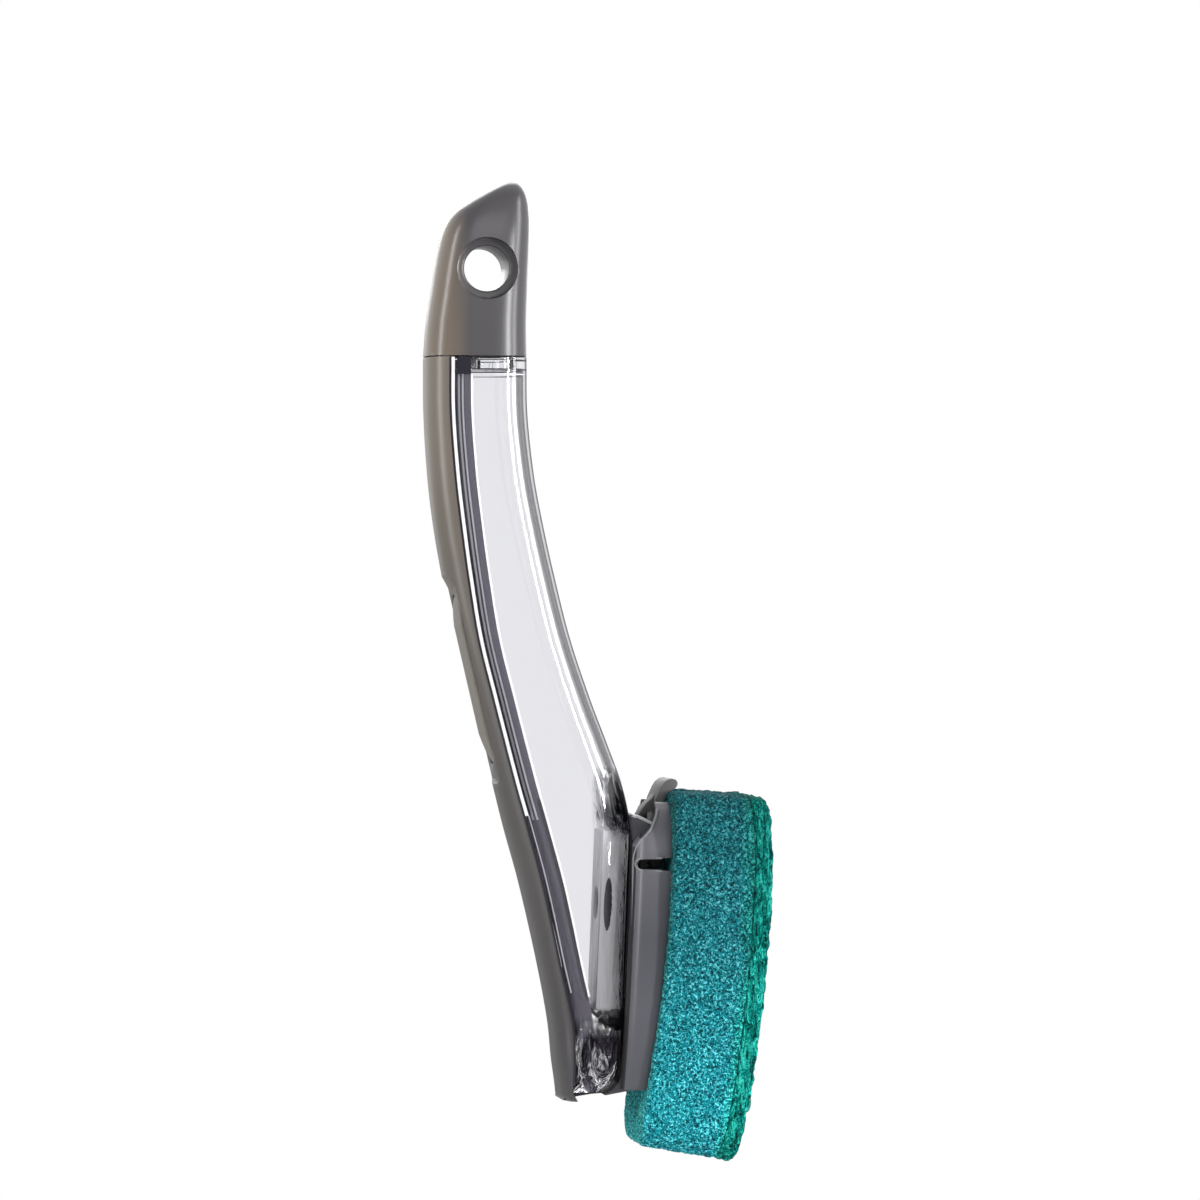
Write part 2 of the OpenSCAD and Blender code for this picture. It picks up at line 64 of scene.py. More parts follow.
# Z, then X of back and front, and half width
CAP_ROWS = [
    (-21.2, -14.4, 10.4, 12), (-13, -13.8, 10.3, 12), (-6, -12.8, 10.5, 11.9), (1, -11.7, 10.8, 11.7),
    (7, -10.5, 11.1, 11.3), (11, -9.1, 11.2, 10.8), (14, -7.0, 11.1, 10.1), (16.5, -3.7, 10.8, 9.2),
    (18.5, -0.4, 10.3, 8.1), (20, 2.4, 9.6, 6.6), (21, 4.6, 8.8, 4.8), (21.6, 6.0, 7.9, 2.6)]
# Share of the length, then X and Z of back and face, and half width
SPONGE_ROWS = [
    (0, 44.6, -127.0, 67.4, -128.6, 20.5), (0.04, 44.1, -130.4, 68.0, -132.2, 24),
    (0.1, 43.9, -135.6, 68.3, -137.6, 25.6), (0.2, 43.6, -144.2, 68.4, -146.6, 26),
    (0.4, 42.6, -161.4, 67.6, -164.6, 25.2), (0.6, 40.9, -178.6, 66.1, -182.4, 23.2),
    (0.8, 38.7, -195.8, 64.1, -200.2, 20.4), (0.9, 37.5, -204.4, 62.7, -208.9, 18.6),
    (0.96, 37.0, -209.8, 61.6, -214.1, 16.4), (1, 37.1, -213.4, 60.4, -217.6, 12.5)]
# Z and half width
HEAD_ROWS = [(-129.8, 13), (-132, 16.4), (-136, 19.4), (-142, 21.3), (-152, 22), (-170, 21.4),
             (-184, 19.8), (-193, 18), (-199.6, 16.4)]
HANDLE_TOP, HANDLE_FOOT = HANDLE_ROWS[0][0], HANDLE_ROWS[-1][0]
CAP_BASE, CAP_TOP = CAP_ROWS[0][0], CAP_ROWS[-1][0]
SPONGE_LEN, SPONGE_W, SCRUB_T = 89, 52, 5
FIT = 0.3
RAIL_TILT, RAIL_X, RAIL_Z = math.radians(2.4), 35.9, -134
RAIL_T, RAIL_WEB, RAIL_LIP, RAIL_END = 1.5, 5.5, 2, -44.3
OUTLET_DOWN, OUTLET_R, VALVE_R = 21, 3.25, 4.65
PRESS_TILT, PRESS_AT = math.radians(13), (-2.45, -100)
BUTTON_LEN, BUTTON_W, BUTTON_CROWN, BUTTON_FOOT = 42, 15, 1.8, 2.5
FLANGE_LONG, FLANGE_WIDE, FLANGE_T = 3, 1.4, 0.8
HEAD_GAP, HEAD_WALL = 0.4, 1.8
TAB_HALF, TAB_AT, TAB_R = 8, (41.6, -144.6), 1.3
SLOT_AT, SLOT_R = (36.6, -144.6), 1.2
HANG_R, DIMPLE_R, HANG_LEN = 5.5, 7.4, 18
NECK_X, NECK_R, NECK_H, NECK_BORE_R = 1, 7.2, 8.2, 5.9


# Numbers of the looks alone: the clear front wall, the soap space's slanted floor, and the foam's mesh

SIDES = ((-1, "near"), (1, "far"))
FRONT_WALL = 1.15
SLANT_X, SLANT_Z, SLANT_RISE, SLANT_END = 23.8, -178.2, 0.96, -185.6
PAD_PITCH, PAD_ROUND, FACE_INSET, END_LAYERS = 0.75, 0.7, 0.7, 9


def at(rows, column, z):
    """Value of a column at height z, on the source's smooth curve through the rows."""
    down = rows[1][0] < rows[0][0]
    i = 0
    while i < len(rows) - 2 and ((rows[i + 1][0] > z) if down else (rows[i + 1][0] < z)):
        i += 1

    def slope(k):
        a, b = max(k - 1, 0), min(k + 1, len(rows) - 1)
        return (rows[b][column] - rows[a][column]) / (rows[b][0] - rows[a][0])

    h = rows[i + 1][0] - rows[i][0]
    t = (z - rows[i][0]) / h
    p, q, m, n = rows[i][column], rows[i + 1][column], slope(i) * h, slope(i + 1) * h
    return (p * (1 + 2 * t) * (1 - t) ** 2 + m * t * (1 - t) ** 2
            + q * t * t * (3 - 2 * t) - n * t * t * (1 - t))


def back(z):
    return at(HANDLE_ROWS, 1, z)


def seam(z):
    return at(HANDLE_ROWS, 2, z)


def front(z):
    return at(HANDLE_ROWS, 3, z)


def half(z):
    return at(HANDLE_ROWS, 4, z)


def walls(z, t):
    """Back, front and half width of the handle, t mm inside its surface."""
    return back(z) + t, front(z) - t, half(z) - t


def power(v):
    """Turns a sine or cosine into that of the rounded square section."""
    return math.copysign(abs(v) ** (2 / SQUARE), v)


def section(b, f, w, a):
    """Point of the rounded section with back b, front f and half width w, angle 0 at the back."""
    return ((b + f) / 2 - (f - b) / 2 * power(math.cos(a)), w * power(math.sin(a)))


def section_angle(b, f, x):
    """Angle at which the section's side is at x."""
    q = ((b + f) / 2 - x) / ((f - b) / 2)
    return math.acos(math.copysign(min(abs(q), 1) ** (SQUARE / 2), q))


def arc(b, f, w, a0, a1, n):
    return [section(b, f, w, a0 + (a1 - a0) * i / (n - 1)) for i in range(n)]


def even(points, n, closed=False):
    """The same line with n points, evenly spaced."""
    p = np.array(points + [points[0]] if closed else points, float)
    d = np.concatenate([[0], np.cumsum(np.linalg.norm(np.diff(p, axis=0), axis=1))])
    s = np.linspace(0, d[-1], n + 1 if closed else n)
    out = np.stack([np.interp(s, d, p[:, k]) for k in range(p.shape[1])], 1)
    return [tuple(q) for q in (out[:-1] if closed else out)]


def lift(points, z):
    return [(x, y, z) for x, y in points]


def steps(low, high, n):
    return [low + (high - low) * i / n for i in range(n + 1)]


def turn(n):
    """Angles of n even steps round a circle."""
    return steps(0, 2 * math.pi * (1 - 1 / n), n - 1)


# Meshes

def make(name, verts, faces, material=None, angle=30):
    """A mesh object from points in millimetres, smooth except at edges sharper than the angle."""
    mesh = bpy.data.meshes.new(name)
    mesh.from_pydata([tuple(c * MM for c in v) for v in verts], [], faces)
    mesh.validate()
    obj = bpy.data.objects.new(name, mesh)
    bpy.context.scene.collection.objects.link(obj)
    fix_normals(obj)
    soften(obj, angle)
    if material:
        mesh.materials.append(material)
    return obj


def fix_normals(obj):
    bm = bmesh.new()
    bm.from_mesh(obj.data)
    bmesh.ops.recalc_face_normals(bm, faces=bm.faces)
    bm.to_mesh(obj.data)
    bm.free()


def soften(obj, angle=30):
    obj.data.shade_smooth()
    obj.data.set_sharp_from_angle(angle=math.radians(angle))


def rings(count, n, start=0):
    """Faces between closed rings of n points."""
    return [(start + r * n + i, start + r * n + (i + 1) % n, start + (r + 1) * n + (i + 1) % n,
             start + (r + 1) * n + i) for r in range(count - 1) for i in range(n)]


def loft(name, loops, material=None, angle=30):
    """Closed solid through closed loops of points."""
    n, last = len(loops[0]), len(loops) - 1
    verts = [p for loop in loops for p in loop]
    faces = rings(last + 1, n) + [tuple(range(n)), tuple(range(last * n + n - 1, last * n - 1, -1))]
    return make(name, verts, faces, material, angle)


def lathe(name, profile, place, material=None, n=96):
    """Closed solid turned around local X through (along, radius) points, put in place by a matrix."""
    angles = [2 * math.pi * k / n for k in range(n)]
    return loft(name, [[tuple(place @ Vector((x, r * math.cos(a), r * math.sin(a)))) for a in angles]
                       for x, r in profile], material)


def prism(name, outline, half_y, material=None):
    """Outline in the XZ plane, thick along Y."""
    return loft(name, [[(x, y, z) for x, z in outline] for y in (-half_y, half_y)], material)


def boolean(obj, cutter, operation="DIFFERENCE"):
    m = obj.modifiers.new("cut", "BOOLEAN")
    m.object, m.operation, m.solver = cutter, operation, "EXACT"
    apply_modifiers(obj)
    bpy.data.objects.remove(cutter)
    return obj


def apply_modifiers(obj):
    graph = bpy.context.evaluated_depsgraph_get()
    new = bpy.data.meshes.new_from_object(obj.evaluated_get(graph))
    materials = list(obj.data.materials)
    obj.modifiers.clear()
    obj.data = new
    new.materials.clear()
    for m in materials:
        new.materials.append(m)


def bevel(obj, width, segments=2, angle=35):
    """Rounds the edges that are sharper than the angle."""
    m = obj.modifiers.new("edge", "BEVEL")
    m.width, m.segments, m.limit_method = width * MM, segments, "ANGLE"
    m.angle_limit = math.radians(angle)
    apply_modifiers(obj)
    soften(obj, angle)
    return obj


def stand_for(obj, body, slot_name, *replaced):
    """Puts a piece on its body in place of the nodes that it replaces, which it hides; the slot name is not used."""
    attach(obj, body)
    if replaced:
        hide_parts(*replaced)
    return obj


# Materials

def linear(r, g, b):
    """Linear colour of an sRGB colour in 0 to 255."""
    return tuple((c / 255 / 12.92) if c <= 10 else ((c / 255 + 0.055) / 1.055) ** 2.4 for c in (r, g, b)) + (1,)


def shade(colour, share):
    return tuple(c * share for c in colour[:3]) + (1,)


class Nodes:
    """Short forms for building the node tree of a material or the world."""

    def __init__(self, name, world=False):
        self.owner = (bpy.data.worlds if world else bpy.data.materials).new(name)
        self.owner.use_nodes = True
        self.tree = self.owner.node_tree
        self.tree.nodes.clear()
        self.out = self.add("ShaderNodeOutputWorld" if world else "ShaderNodeOutputMaterial")
        self.place = self.add("ShaderNodeTexCoord").outputs["Generated" if world else "Object"]

    def add(self, kind, *inputs, **values):
        """A node with its properties, and with its inputs set or linked from (key, value or socket) pairs."""
        node = self.tree.nodes.new(kind)
        for k, v in values.items():
            setattr(node, k, v)
        for key, v in inputs:
            if isinstance(v, (int, float, tuple)):
                node.inputs[key].default_value = v
            elif v is not None:
                self.tree.links.new(v, node.inputs[key])
        return node

    def noise(self, scale, detail=3, rough=0.5, stretch=(1, 1, 1), bend=0.0, turn=(0, 0, 0)):
        mapping = self.add("ShaderNodeMapping", ("Scale", stretch), ("Rotation", turn), ("Vector", self.place))
        return self.add("ShaderNodeTexNoise", ("Distortion", bend), ("Scale", scale), ("Detail", detail),
                        ("Roughness", rough), ("Vector", mapping.outputs["Vector"])).outputs["Fac"]

    def cells(self, scale):
        return self.add("ShaderNodeTexVoronoi", ("Scale", scale), ("Vector", self.place)).outputs["Distance"]

    def ramp(self, fac, *stops):
        n = self.add("ShaderNodeValToRGB", ("Fac", fac))
        while len(n.color_ramp.elements) < len(stops):
            n.color_ramp.elements.new(0.5)
        for e, (pos, colour) in zip(n.color_ramp.elements, stops):
            e.position, e.color = pos, colour
        return n.outputs["Color"]

    def spread(self, fac, low, high, from_low=0.0, from_high=1.0, kind="LINEAR"):
        return self.add("ShaderNodeMapRange", ("From Min", from_low), ("From Max", from_high), ("To Min", low),
                        ("To Max", high), ("Value", fac), interpolation_type=kind).outputs["Result"]

    def blend(self, fac, a, b, mode="MIX"):
        return self.add("ShaderNodeMix", (0, fac), (6, a), (7, b), data_type="RGBA", blend_type=mode).outputs[2]

    def along(self, axis):
        """The point's X, Y or Z in metres."""
        return self.add("ShaderNodeSeparateXYZ", ("Vector", self.place)).outputs[axis]

    def math(self, operation, a, b):
        return self.add("ShaderNodeMath", (0, a), (1, b), operation=operation).outputs[0]

    def bump(self, *layers):
        """Bump from (height, distance in millimetres, strength) layers."""
        normal = None
        for height, distance, strength in layers:
            normal = self.add("ShaderNodeBump", ("Distance", distance * MM), ("Strength", strength),
                              ("Height", height), ("Normal", normal)).outputs["Normal"]
        return normal

    def shader(self, kind, *inputs):
        return self.add(kind, *inputs).outputs[0]

    def principled(self, normal, colour, rough, *inputs):
        return self.shader("ShaderNodeBsdfPrincipled", ("Base Color", colour), ("Roughness", rough),
                           ("Normal", normal), *inputs)

    def mix(self, fac, a, b):
        return self.shader("ShaderNodeMixShader", (0, fac), (1, a), (2, b))

    def surface(self, shader):
        """Ends the tree with a shader, and gives its material or world."""
        self.tree.links.new(shader, self.out.inputs["Surface"])
        return self.owner


def plastic(name, colour, rough=0.34, grain=0.02, painted_shading=None, painted_rear_light=None):
    """Moulded plastic: faint flow marks, fine grain, painted light and shade by share of the height, and a painted
    lighter tone towards the back.
    """
    n = Nodes(name)
    flow = n.noise(28, 4, 0.55, (1.6, 1.6, 0.35))
    fine = n.noise(1900, 2, 0.5)
    base = colour
    # Painted light and shade: the colour changes with height, standing in for how the light falls at each height.
    if painted_shading:
        base = n.ramp(n.spread(n.along("Z"), 0, 1, -0.205, 0.02), *painted_shading)
    # Painted light: towards the back the colour turns to a lighter, warmer one.
    if painted_rear_light:
        base = n.blend(n.spread(n.along("X"), 1.0, 0.0, -0.0095, -0.0045), base, painted_rear_light)
    tone = n.blend(n.spread(flow, 0.0, 0.3), base, shade(colour, 0.7))
    normal = n.bump((fine, grain, 0.5), (flow, 0.05, 0.15))
    return n.surface(n.principled(normal, tone, n.spread(flow, rough - 0.05, rough + 0.07)))


def clear_plastic(name, colour, edge):
    """Clear styrene: refracts, darkens at grazing angles, and is streaked in its thick foot and outlet; the darkening
    and the dark streaks are painted shade standing in for dark things it would refract.
    """
    n = Nodes(name)
    ripple = n.noise(60, 3, 0.5, (1, 1, 0.4))
    streak = n.noise(150, 3, 0.62, (1.5, 1.5, 0.5), 1.6)
    x, z = n.along("X"), n.along("Z")
    # Masks of the thick places: the foot, the wall at the outlet, and the bend above it
    foot = n.spread(z, 0.0, 1.0, -0.1815, -0.1870)
    wall = n.spread(x, 0.0, 1.0, 0.0285, 0.0315)
    outlet = n.math("MULTIPLY", wall, n.spread(z, 0.0, 0.1, -0.128, -0.140))
    bend = n.math("MULTIPLY", wall, n.math("MULTIPLY", n.spread(z, 0.0, 1.0, -0.121, -0.1255),
                                           n.spread(z, 1.0, 0.0, -0.134, -0.140)))
    thick = n.math("MAXIMUM", foot, n.math("MAXIMUM", outlet, bend))
    # Painted shade: dark streaks in the glass colour over the thick places.
    painted_dark_streaks = n.math("MULTIPLY", thick, n.spread(streak, 1.0, 0.0, 0.49, 0.59))
    waves = n.math("MULTIPLY", thick, streak)
    glass = n.shader("ShaderNodeBsdfGlass", ("IOR", 1.46), ("Roughness", 0.0),
                     ("Color", n.blend(painted_dark_streaks, colour, (0.07, 0.065, 0.08, 1))),
                     ("Normal", n.bump((ripple, 0.06, 0.25), (waves, 2.0, 1.0))))
    through = n.shader("ShaderNodeBsdfTransparent", ("Color", (0.97, 0.97, 0.98, 1)))
    path = n.add("ShaderNodeLightPath").outputs
    clear = n.mix(n.math("MAXIMUM", path["Is Shadow Ray"], path["Is Diffuse Ray"]), glass, through)
    # Painted shade: a near-black diffuse mixed in at grazing angles draws the dark edges.
    rim = n.shader("ShaderNodeBsdfDiffuse", ("Color", edge))
    facing = n.add("ShaderNodeLayerWeight", ("Blend", 0.5)).outputs["Facing"]
    return n.surface(n.mix(n.spread(facing, 0, 0.94, 0.60, 0.86), clear, rim))


def foam(name, dark, mid, light, bond=None):
    """Open-cell foam: dark pores, light cell walls, painted shade over the top and painted light lower down, and the
    scrub's green where it is bonded.
    """
    n = Nodes(name)
    grain = n.noise(1650, 2, 0.6, (1, 1, 1), 0.9)
    cell = n.cells(1500)
    slow = n.noise(45, 3, 0.5)
    base = n.ramp(grain, (0.42, dark), (0.49, mid), (0.56, mid), (0.63, light))
    if bond:
        green = n.ramp(grain, (0.43, bond[0]), (0.48, bond[1]), (0.53, bond[1]), (0.60, bond[2]))
        reach = n.add("ShaderNodeAttribute", attribute_name="reach").outputs["Fac"]
        ragged = n.math("ADD", reach, n.spread(slow, -0.05, 0.05, 0.3, 0.7))
        base = n.blend(n.spread(ragged, 0.0, 0.85, 0.67, 0.80), base, green)
    tone = n.blend(n.spread(cell, 0.8, 0.0, 0.0, 0.5), base, dark)
    tone = n.blend(n.spread(slow, 0.0, 0.25), tone, shade(mid, 0.7))
    # Painted shade: darker towards the top; painted light: lighter towards the bottom.
    tone = n.blend(n.spread(n.along("Z"), 0.0, 0.75, -0.165, -0.128), tone, (0.3, 0.4, 0.4, 1), "MULTIPLY")
    tone = n.blend(n.spread(n.along("Z"), 1.0, 0.0, -0.205, -0.165), tone, (1.4, 1.7, 1.7, 1), "MULTIPLY")
    normal = n.bump((grain, 0.8, 1.0), (cell, 0.4, 0.7))
    return n.surface(n.principled(normal, tone, 0.85, ("Specular IOR Level", 0.15)))


def fibre(name, dark, mid, light):
    """Non-woven scouring fibre: matted strands with specks of binder, and painted shade towards its top."""
    n = Nodes(name)
    strands = n.noise(850, 3, 0.7, (1, 1, 0.22), 1.2)
    cross = n.noise(1100, 3, 0.7, (1, 0.45, 1.2), 1.6, (-0.5, 0.9, 0.4))
    speck = n.cells(1300)
    base = n.ramp(n.blend(0.35, strands, cross), (0.43, dark), (0.485, mid), (0.515, mid), (0.575, light))
    tone = n.blend(n.spread(speck, 0.5, 0.0, 0.0, 0.25), base, light)
    # Painted shade: darker towards the top.
    tone = n.blend(n.spread(n.along("Z"), 0.0, 0.5, -0.17, -0.130), tone, dark)
    normal = n.bump((strands, 1.0, 1.0), (cross, 0.8, 0.8), (speck, 0.3, 0.4))
    return n.surface(n.principled(normal, tone, 0.8, ("Specular IOR Level", 0.06)))


def cloudy_plastic(name, colour, density):
    """Half-clear moulded plastic: part of the light goes straight through."""
    n = Nodes(name)
    flow = n.noise(260, 4, 0.6, (1.6, 1.6, 0.12))
    tone = n.blend(n.spread(flow, 0.0, 0.22, 0.54, 0.36), colour, shade(colour, 0.35))
    body = n.principled(n.bump((flow, 0.3, 0.6)), tone, n.spread(flow, 0.15, 0.35))
    through = n.shader("ShaderNodeBsdfTransparent", ("Color", (0.93, 0.93, 0.94, 1)))
    return n.surface(n.mix(n.spread(flow, density - 0.04, density + 0.04, 0.35, 0.65), through, body))


def steel(name):
    """Bright wire with drawn lines along it."""
    n = Nodes(name)
    lines = n.noise(900, 3, 0.6, (1, 1, 6))
    normal, rough = n.bump((lines, 0.02, 0.4)), n.spread(lines, 0.2, 0.38)
    return n.surface(n.principled(normal, linear(190, 190, 192), rough, ("Metallic", 1.0)))


# Painted light: the cap turns to a lighter, warm taupe towards its back.
mat_cap = plastic("cap_taupe", linear(76, 74, 77), 0.27, painted_rear_light=linear(122, 110, 97))
# Painted light and shade: the spine is dark near its foot and turns lighter and warmer towards the cap.
mat_spine = plastic("spine_taupe", linear(98, 95, 92), 0.33, painted_shading=(
    (0.1, linear(63, 61, 64)), (0.42, linear(91, 88, 86)), (0.72, linear(121, 112, 101))))
mat_button = plastic("button_taupe", linear(122, 117, 110), 0.5, grain=0.05)
# The near-black second colour is the painted shade of the clear edges.
mat_clear = clear_plastic("clear_body", (0.95, 0.95, 0.96, 1), (0.03, 0.03, 0.035, 1))
mat_frame = plastic("frame_grey", linear(88, 84, 98), 0.22)
mat_frame_dark = plastic("frame_dark", linear(34, 31, 42), 0.3)
# Painted highlight: white for edges that catch the light.
mat_highlight_white = plastic("highlight_white", linear(248, 248, 250), 0.2)
mat_rib = plastic("rib_pale", linear(226, 224, 232), 0.25)
mat_rib_low = plastic("rib_grey", linear(172, 170, 180), 0.25)
mat_block = plastic("collar_dark", linear(20, 16, 32), 0.3)
# Painted shade: near-black for the shadowed back faces of the head.
mat_painted_shade = plastic("head_painted_shade", linear(30, 30, 33), 0.5)
mat_outlet = plastic("outlet_grey", linear(150, 150, 152), 0.35)
mat_housing = cloudy_plastic("housing_clear", linear(252, 252, 253), 0.96)
# Painted light and shade: the head is lightest at its top, darker through its middle and darkest at its foot.
mat_head = plastic("head_grey", linear(90, 90, 97), 0.36, grain=0.03, painted_shading=(
    (0.04, linear(80, 80, 87)), (0.11, linear(90, 90, 97)), (0.19, linear(81, 81, 88)),
    (0.30, linear(107, 107, 113))))
mat_tab = plastic("tab_grey", linear(84, 82, 83), 0.5, grain=0.1)
# Painted highlight: the head's rims are paler than the head.
mat_rim_highlight = plastic("rim_highlight_grey", linear(140, 140, 145), 0.25)
mat_plate = plastic("plate_grey", linear(120, 120, 122), 0.5)
mat_white = plastic("inner_white", linear(222, 222, 220), 0.35)
mat_rubber = plastic("seal_black", linear(38, 38, 40), 0.55, grain=0.04)
mat_foam = foam("sponge_teal", linear(0, 40, 48), linear(12, 132, 143), linear(112, 216, 224),
                (linear(0, 54, 50), linear(0, 132, 122), linear(66, 218, 198)))
mat_foam_back = foam("sponge_back", linear(4, 50, 54), linear(34, 134, 136), linear(110, 196, 196))
mat_dots = plastic("dots_green", linear(6, 112, 98), 0.42, grain=0.12)
mat_plunger = plastic("plunger_grey", linear(140, 138, 146), 0.4)
mat_scrub = fibre("scrub_green", linear(0, 50, 48), linear(0, 128, 118), linear(58, 216, 198))
mat_steel = steel("spring_steel")
CAD_LOOKS = {
    "cap_plug": mat_white, "cap_seal_ring": mat_rubber, "return_spring": mat_steel,
    "slit_valve": mat_rubber, "valve_retainer": mat_white,
    "soap_nozzle": mat_outlet, "nozzle_seal": mat_rubber, "head_rail": mat_head,
    "button_plunger": mat_plunger, "plunger_seal": mat_rubber, "backing_plate": mat_plate}
for name, material in CAD_LOOKS.items():
    nodes[name].data.materials.clear()
    nodes[name].data.materials.append(material)
    soften(nodes[name], 30)


# Places

def on_rail(down=0):
    """Matrix of the face that the head slides on: local X outwards, local -Z down the face."""
    return (Matrix.Translation((RAIL_X, 0, RAIL_Z)) @ Matrix.Rotation(RAIL_TILT, 4, "Y")
            @ Matrix.Translation((0, 0, -down)))


def on_press():
    """Matrix of the button: local X presses inwards."""
    return Matrix.Translation((PRESS_AT[0], 0, PRESS_AT[1])) @ Matrix.Rotation(-PRESS_TILT, 4, "Y")


def stadium(name, length, width, profile, place):
    """Plate with round ends, long along local Z, through (local x, inset) pairs."""
    loops = []
    for x, inset in profile:
        r, straight = width / 2 - inset, (length - width) / 2
        loops.append([tuple(place @ Vector((x, r * math.cos(a), side * straight + r * math.sin(a))))
                      for side, start in ((1, 0), (-1, math.pi)) for a in steps(start, start + math.pi, 24)])
    return loft(name, loops)


# Cap

def cap_loops(inset, heights):
    """Closed outlines of the cap, inset from its surface."""
    loops = []
    for z in heights:
        b, f, w = at(CAP_ROWS, 1, z) + inset, at(CAP_ROWS, 2, z) - inset, at(CAP_ROWS, 3, z) - inset
        loops.append(lift(even([section(b, f, w, a) for a in turn(200)], 96, True), z))
    return loops


def build_cap():
    """The cap with its hanging hole, flat dimples and the pocket over the neck."""
    heights = steps(CAP_BASE, 12, 30) + steps(12.5, CAP_TOP, 26)
    cap = loft("cap_body", cap_loops(0, heights), mat_cap)
    boolean(cap, loft("pocket", cap_loops(1.7, steps(CAP_BASE - 0.5, CAP_BASE + 10.2, 8))))
    across = Matrix.Rotation(math.radians(90), 4, "Z")
    h, flare = HANG_LEN / 2, 0.7
    mouth = [(h - flare + flare * math.sin(a), HANG_R + flare - flare * math.cos(a))
             for a in steps(math.pi / 2, 0, 5)]
    hole = [(h + 0.3, HANG_R + flare)] + mouth
    boolean(cap, lathe("hole", hole + [(-x, r) for x, r in reversed(hole)], across))
    for s in (-1, 1):
        dimple = [(s * h, DIMPLE_R - 0.6), (s * (h + 0.15), DIMPLE_R - 0.15), (s * (h + 0.6), DIMPLE_R),
                  (s * (h + 6), DIMPLE_R + 0.5)]
        boolean(cap, lathe("dimple", dimple, across))
    bevel(cap, 0.25, 2, 40)
    return stand_for(cap, "cap", "cap_taupe", "cap_shell")


# Handle

def behind_arc(z, inset, x, n):
    """Outline of the handle behind x."""
    b, f, w = walls(z, inset)
    a = section_angle(b, f, x)
    return even(arc(b, f, w, -a, a, 160), n)


def ahead_arc(z, inset, x, n):
    """Outline of the handle ahead of x."""
    b, f, w = walls(z, inset)
    a = section_angle(b, f, x)
    return even(arc(b, f, w, a, 2 * math.pi - a, 200), n)


def cavity_arc(z, n):
    """Outline of the soap space, whose floor slants up towards the spine."""
    b, f, w = back(z) + WALL, front(z) - FRONT_WALL, half(z) - WALL
    x = max(seam(z) - 1, SLANT_X + (SLANT_Z - z) * SLANT_RISE)
    a = section_angle(b, f, x)
    return even(arc(b, f, w, a, 2 * math.pi - a, 200), n)


def inside_loop(z, x0, x1, t):
    """Closed outline between x0 and x1, t mm inside the handle's surface."""
    b, f, w = walls(z, t)
    side = arc(b, f, w, section_angle(b, f, x0), section_angle(b, f, x1), 60)
    return even(side + [(x, -y) for x, y in reversed(side)], 64, True)


def build_spine():
    """The rigid back with its thumb recess, the button's opening and the lip under the foot."""
    heights = ([HANDLE_TOP - 0.01] + steps(HANDLE_TOP - 1, -195, 116)
               + [-196.5, -198, -199.2, -200.2, HANDLE_FOOT])
    loops = [lift(behind_arc(z, 0, seam(z) - 0.05, 72), z) for z in heights]
    lip_drop, lip_reach = 2.3, 1.3
    for share, inset in ((0.35, 0.05), (0.7, 0.2), (0.92, 0.6), (1.0, 1.1)):
        edge = behind_arc(HANDLE_FOOT, inset, seam(HANDLE_FOOT) + lip_reach * share, 72)
        loops.append(lift(edge, HANDLE_FOOT - lip_drop * share))
    spine = loft("spine", loops, mat_spine)
    inner = steps(HANDLE_TOP - TOP_PLATE, HANDLE_FOOT + FOOT, 80)
    hollow = [lift(inside_loop(z, back(z) + SPINE_BACK, seam(z) + 1, WALL), z) for z in inner]
    boolean(spine, loft("hollow", hollow))
    recess = [(-30, -74.4), (-9.9, -74.5), (-8.9, -75.6), (-7.6, -77.7), (3.2, -124.4), (2.9, -125.3),
              (2.2, -126.1), (-30, -128)]
    boolean(spine, prism("recess", recess, 20))
    opening = [(-3, 0), (0.2, 0), (9, 0)]
    boolean(spine, stadium("opening", BUTTON_LEN + 0.6, BUTTON_W + 0.6, opening, on_press()))
    pocket = [(SPINE_BACK - 1.2, 0), (9, 0)]
    boolean(spine, stadium("pocket", BUTTON_LEN + 4, BUTTON_W + 2.2, pocket, on_press()))
    bevel(spine, 0.3, 2, 38)
    return stand_for(spine, "handle", "spine_taupe", "spine_cover")


def build_clear():
    """The clear front body with its neck, soap space, solid foot and outlet."""
    heights = (steps(HANDLE_TOP, -190, 120)
               + [-191.5, -193, -194.5, -196, -197.2, -198.2, -199, -199.7, -200.1, HANDLE_FOOT])
    body = loft("clear_shell", [lift(ahead_arc(z, 0, seam(z) + 0.05, 90), z) for z in heights], mat_clear)
    neck_place = Matrix.Translation((NECK_X, 0, 0)) @ Matrix.Rotation(math.radians(-90), 4, "Y")
    top, rim = HANDLE_TOP, HANDLE_TOP + NECK_H
    neck = [(top - 1, NECK_R), (top + 7.6, NECK_R), (rim, NECK_R - 0.5)]
    boolean(body, lathe("neck", neck, neck_place), "UNION")
    inner = [z for z in steps(top - TOP_PLATE, HANDLE_FOOT + FOOT, 110) if z > SLANT_END] + [SLANT_END]
    boolean(body, loft("cavity", [lift(cavity_arc(z, 90), z) for z in inner]))
    boolean(body, lathe("bore", [(top - 4, NECK_BORE_R), (rim + 1.8, NECK_BORE_R)], neck_place))
    boolean(body, lathe("outlet", [(-6, OUTLET_R), (3, OUTLET_R)], on_rail(OUTLET_DOWN)))
    soften(body, 35)
    return stand_for(body, "handle", "clear_body", "reservoir_shell")


def flank_rows(reach0, reach1, t, heights, side):
    """Rows of three points along a side wall, t mm below its surface, between two distances past the seam."""
    rows = []
    for z in heights:
        b, f, w = walls(z, t)
        xs = [min(seam(z) + reach, f - 0.4) for reach in steps(reach0, reach1, 2)]
        rows.append([(x, side * section(b, f, w, section_angle(b, f, x))[1], z) for x in xs])
    return rows


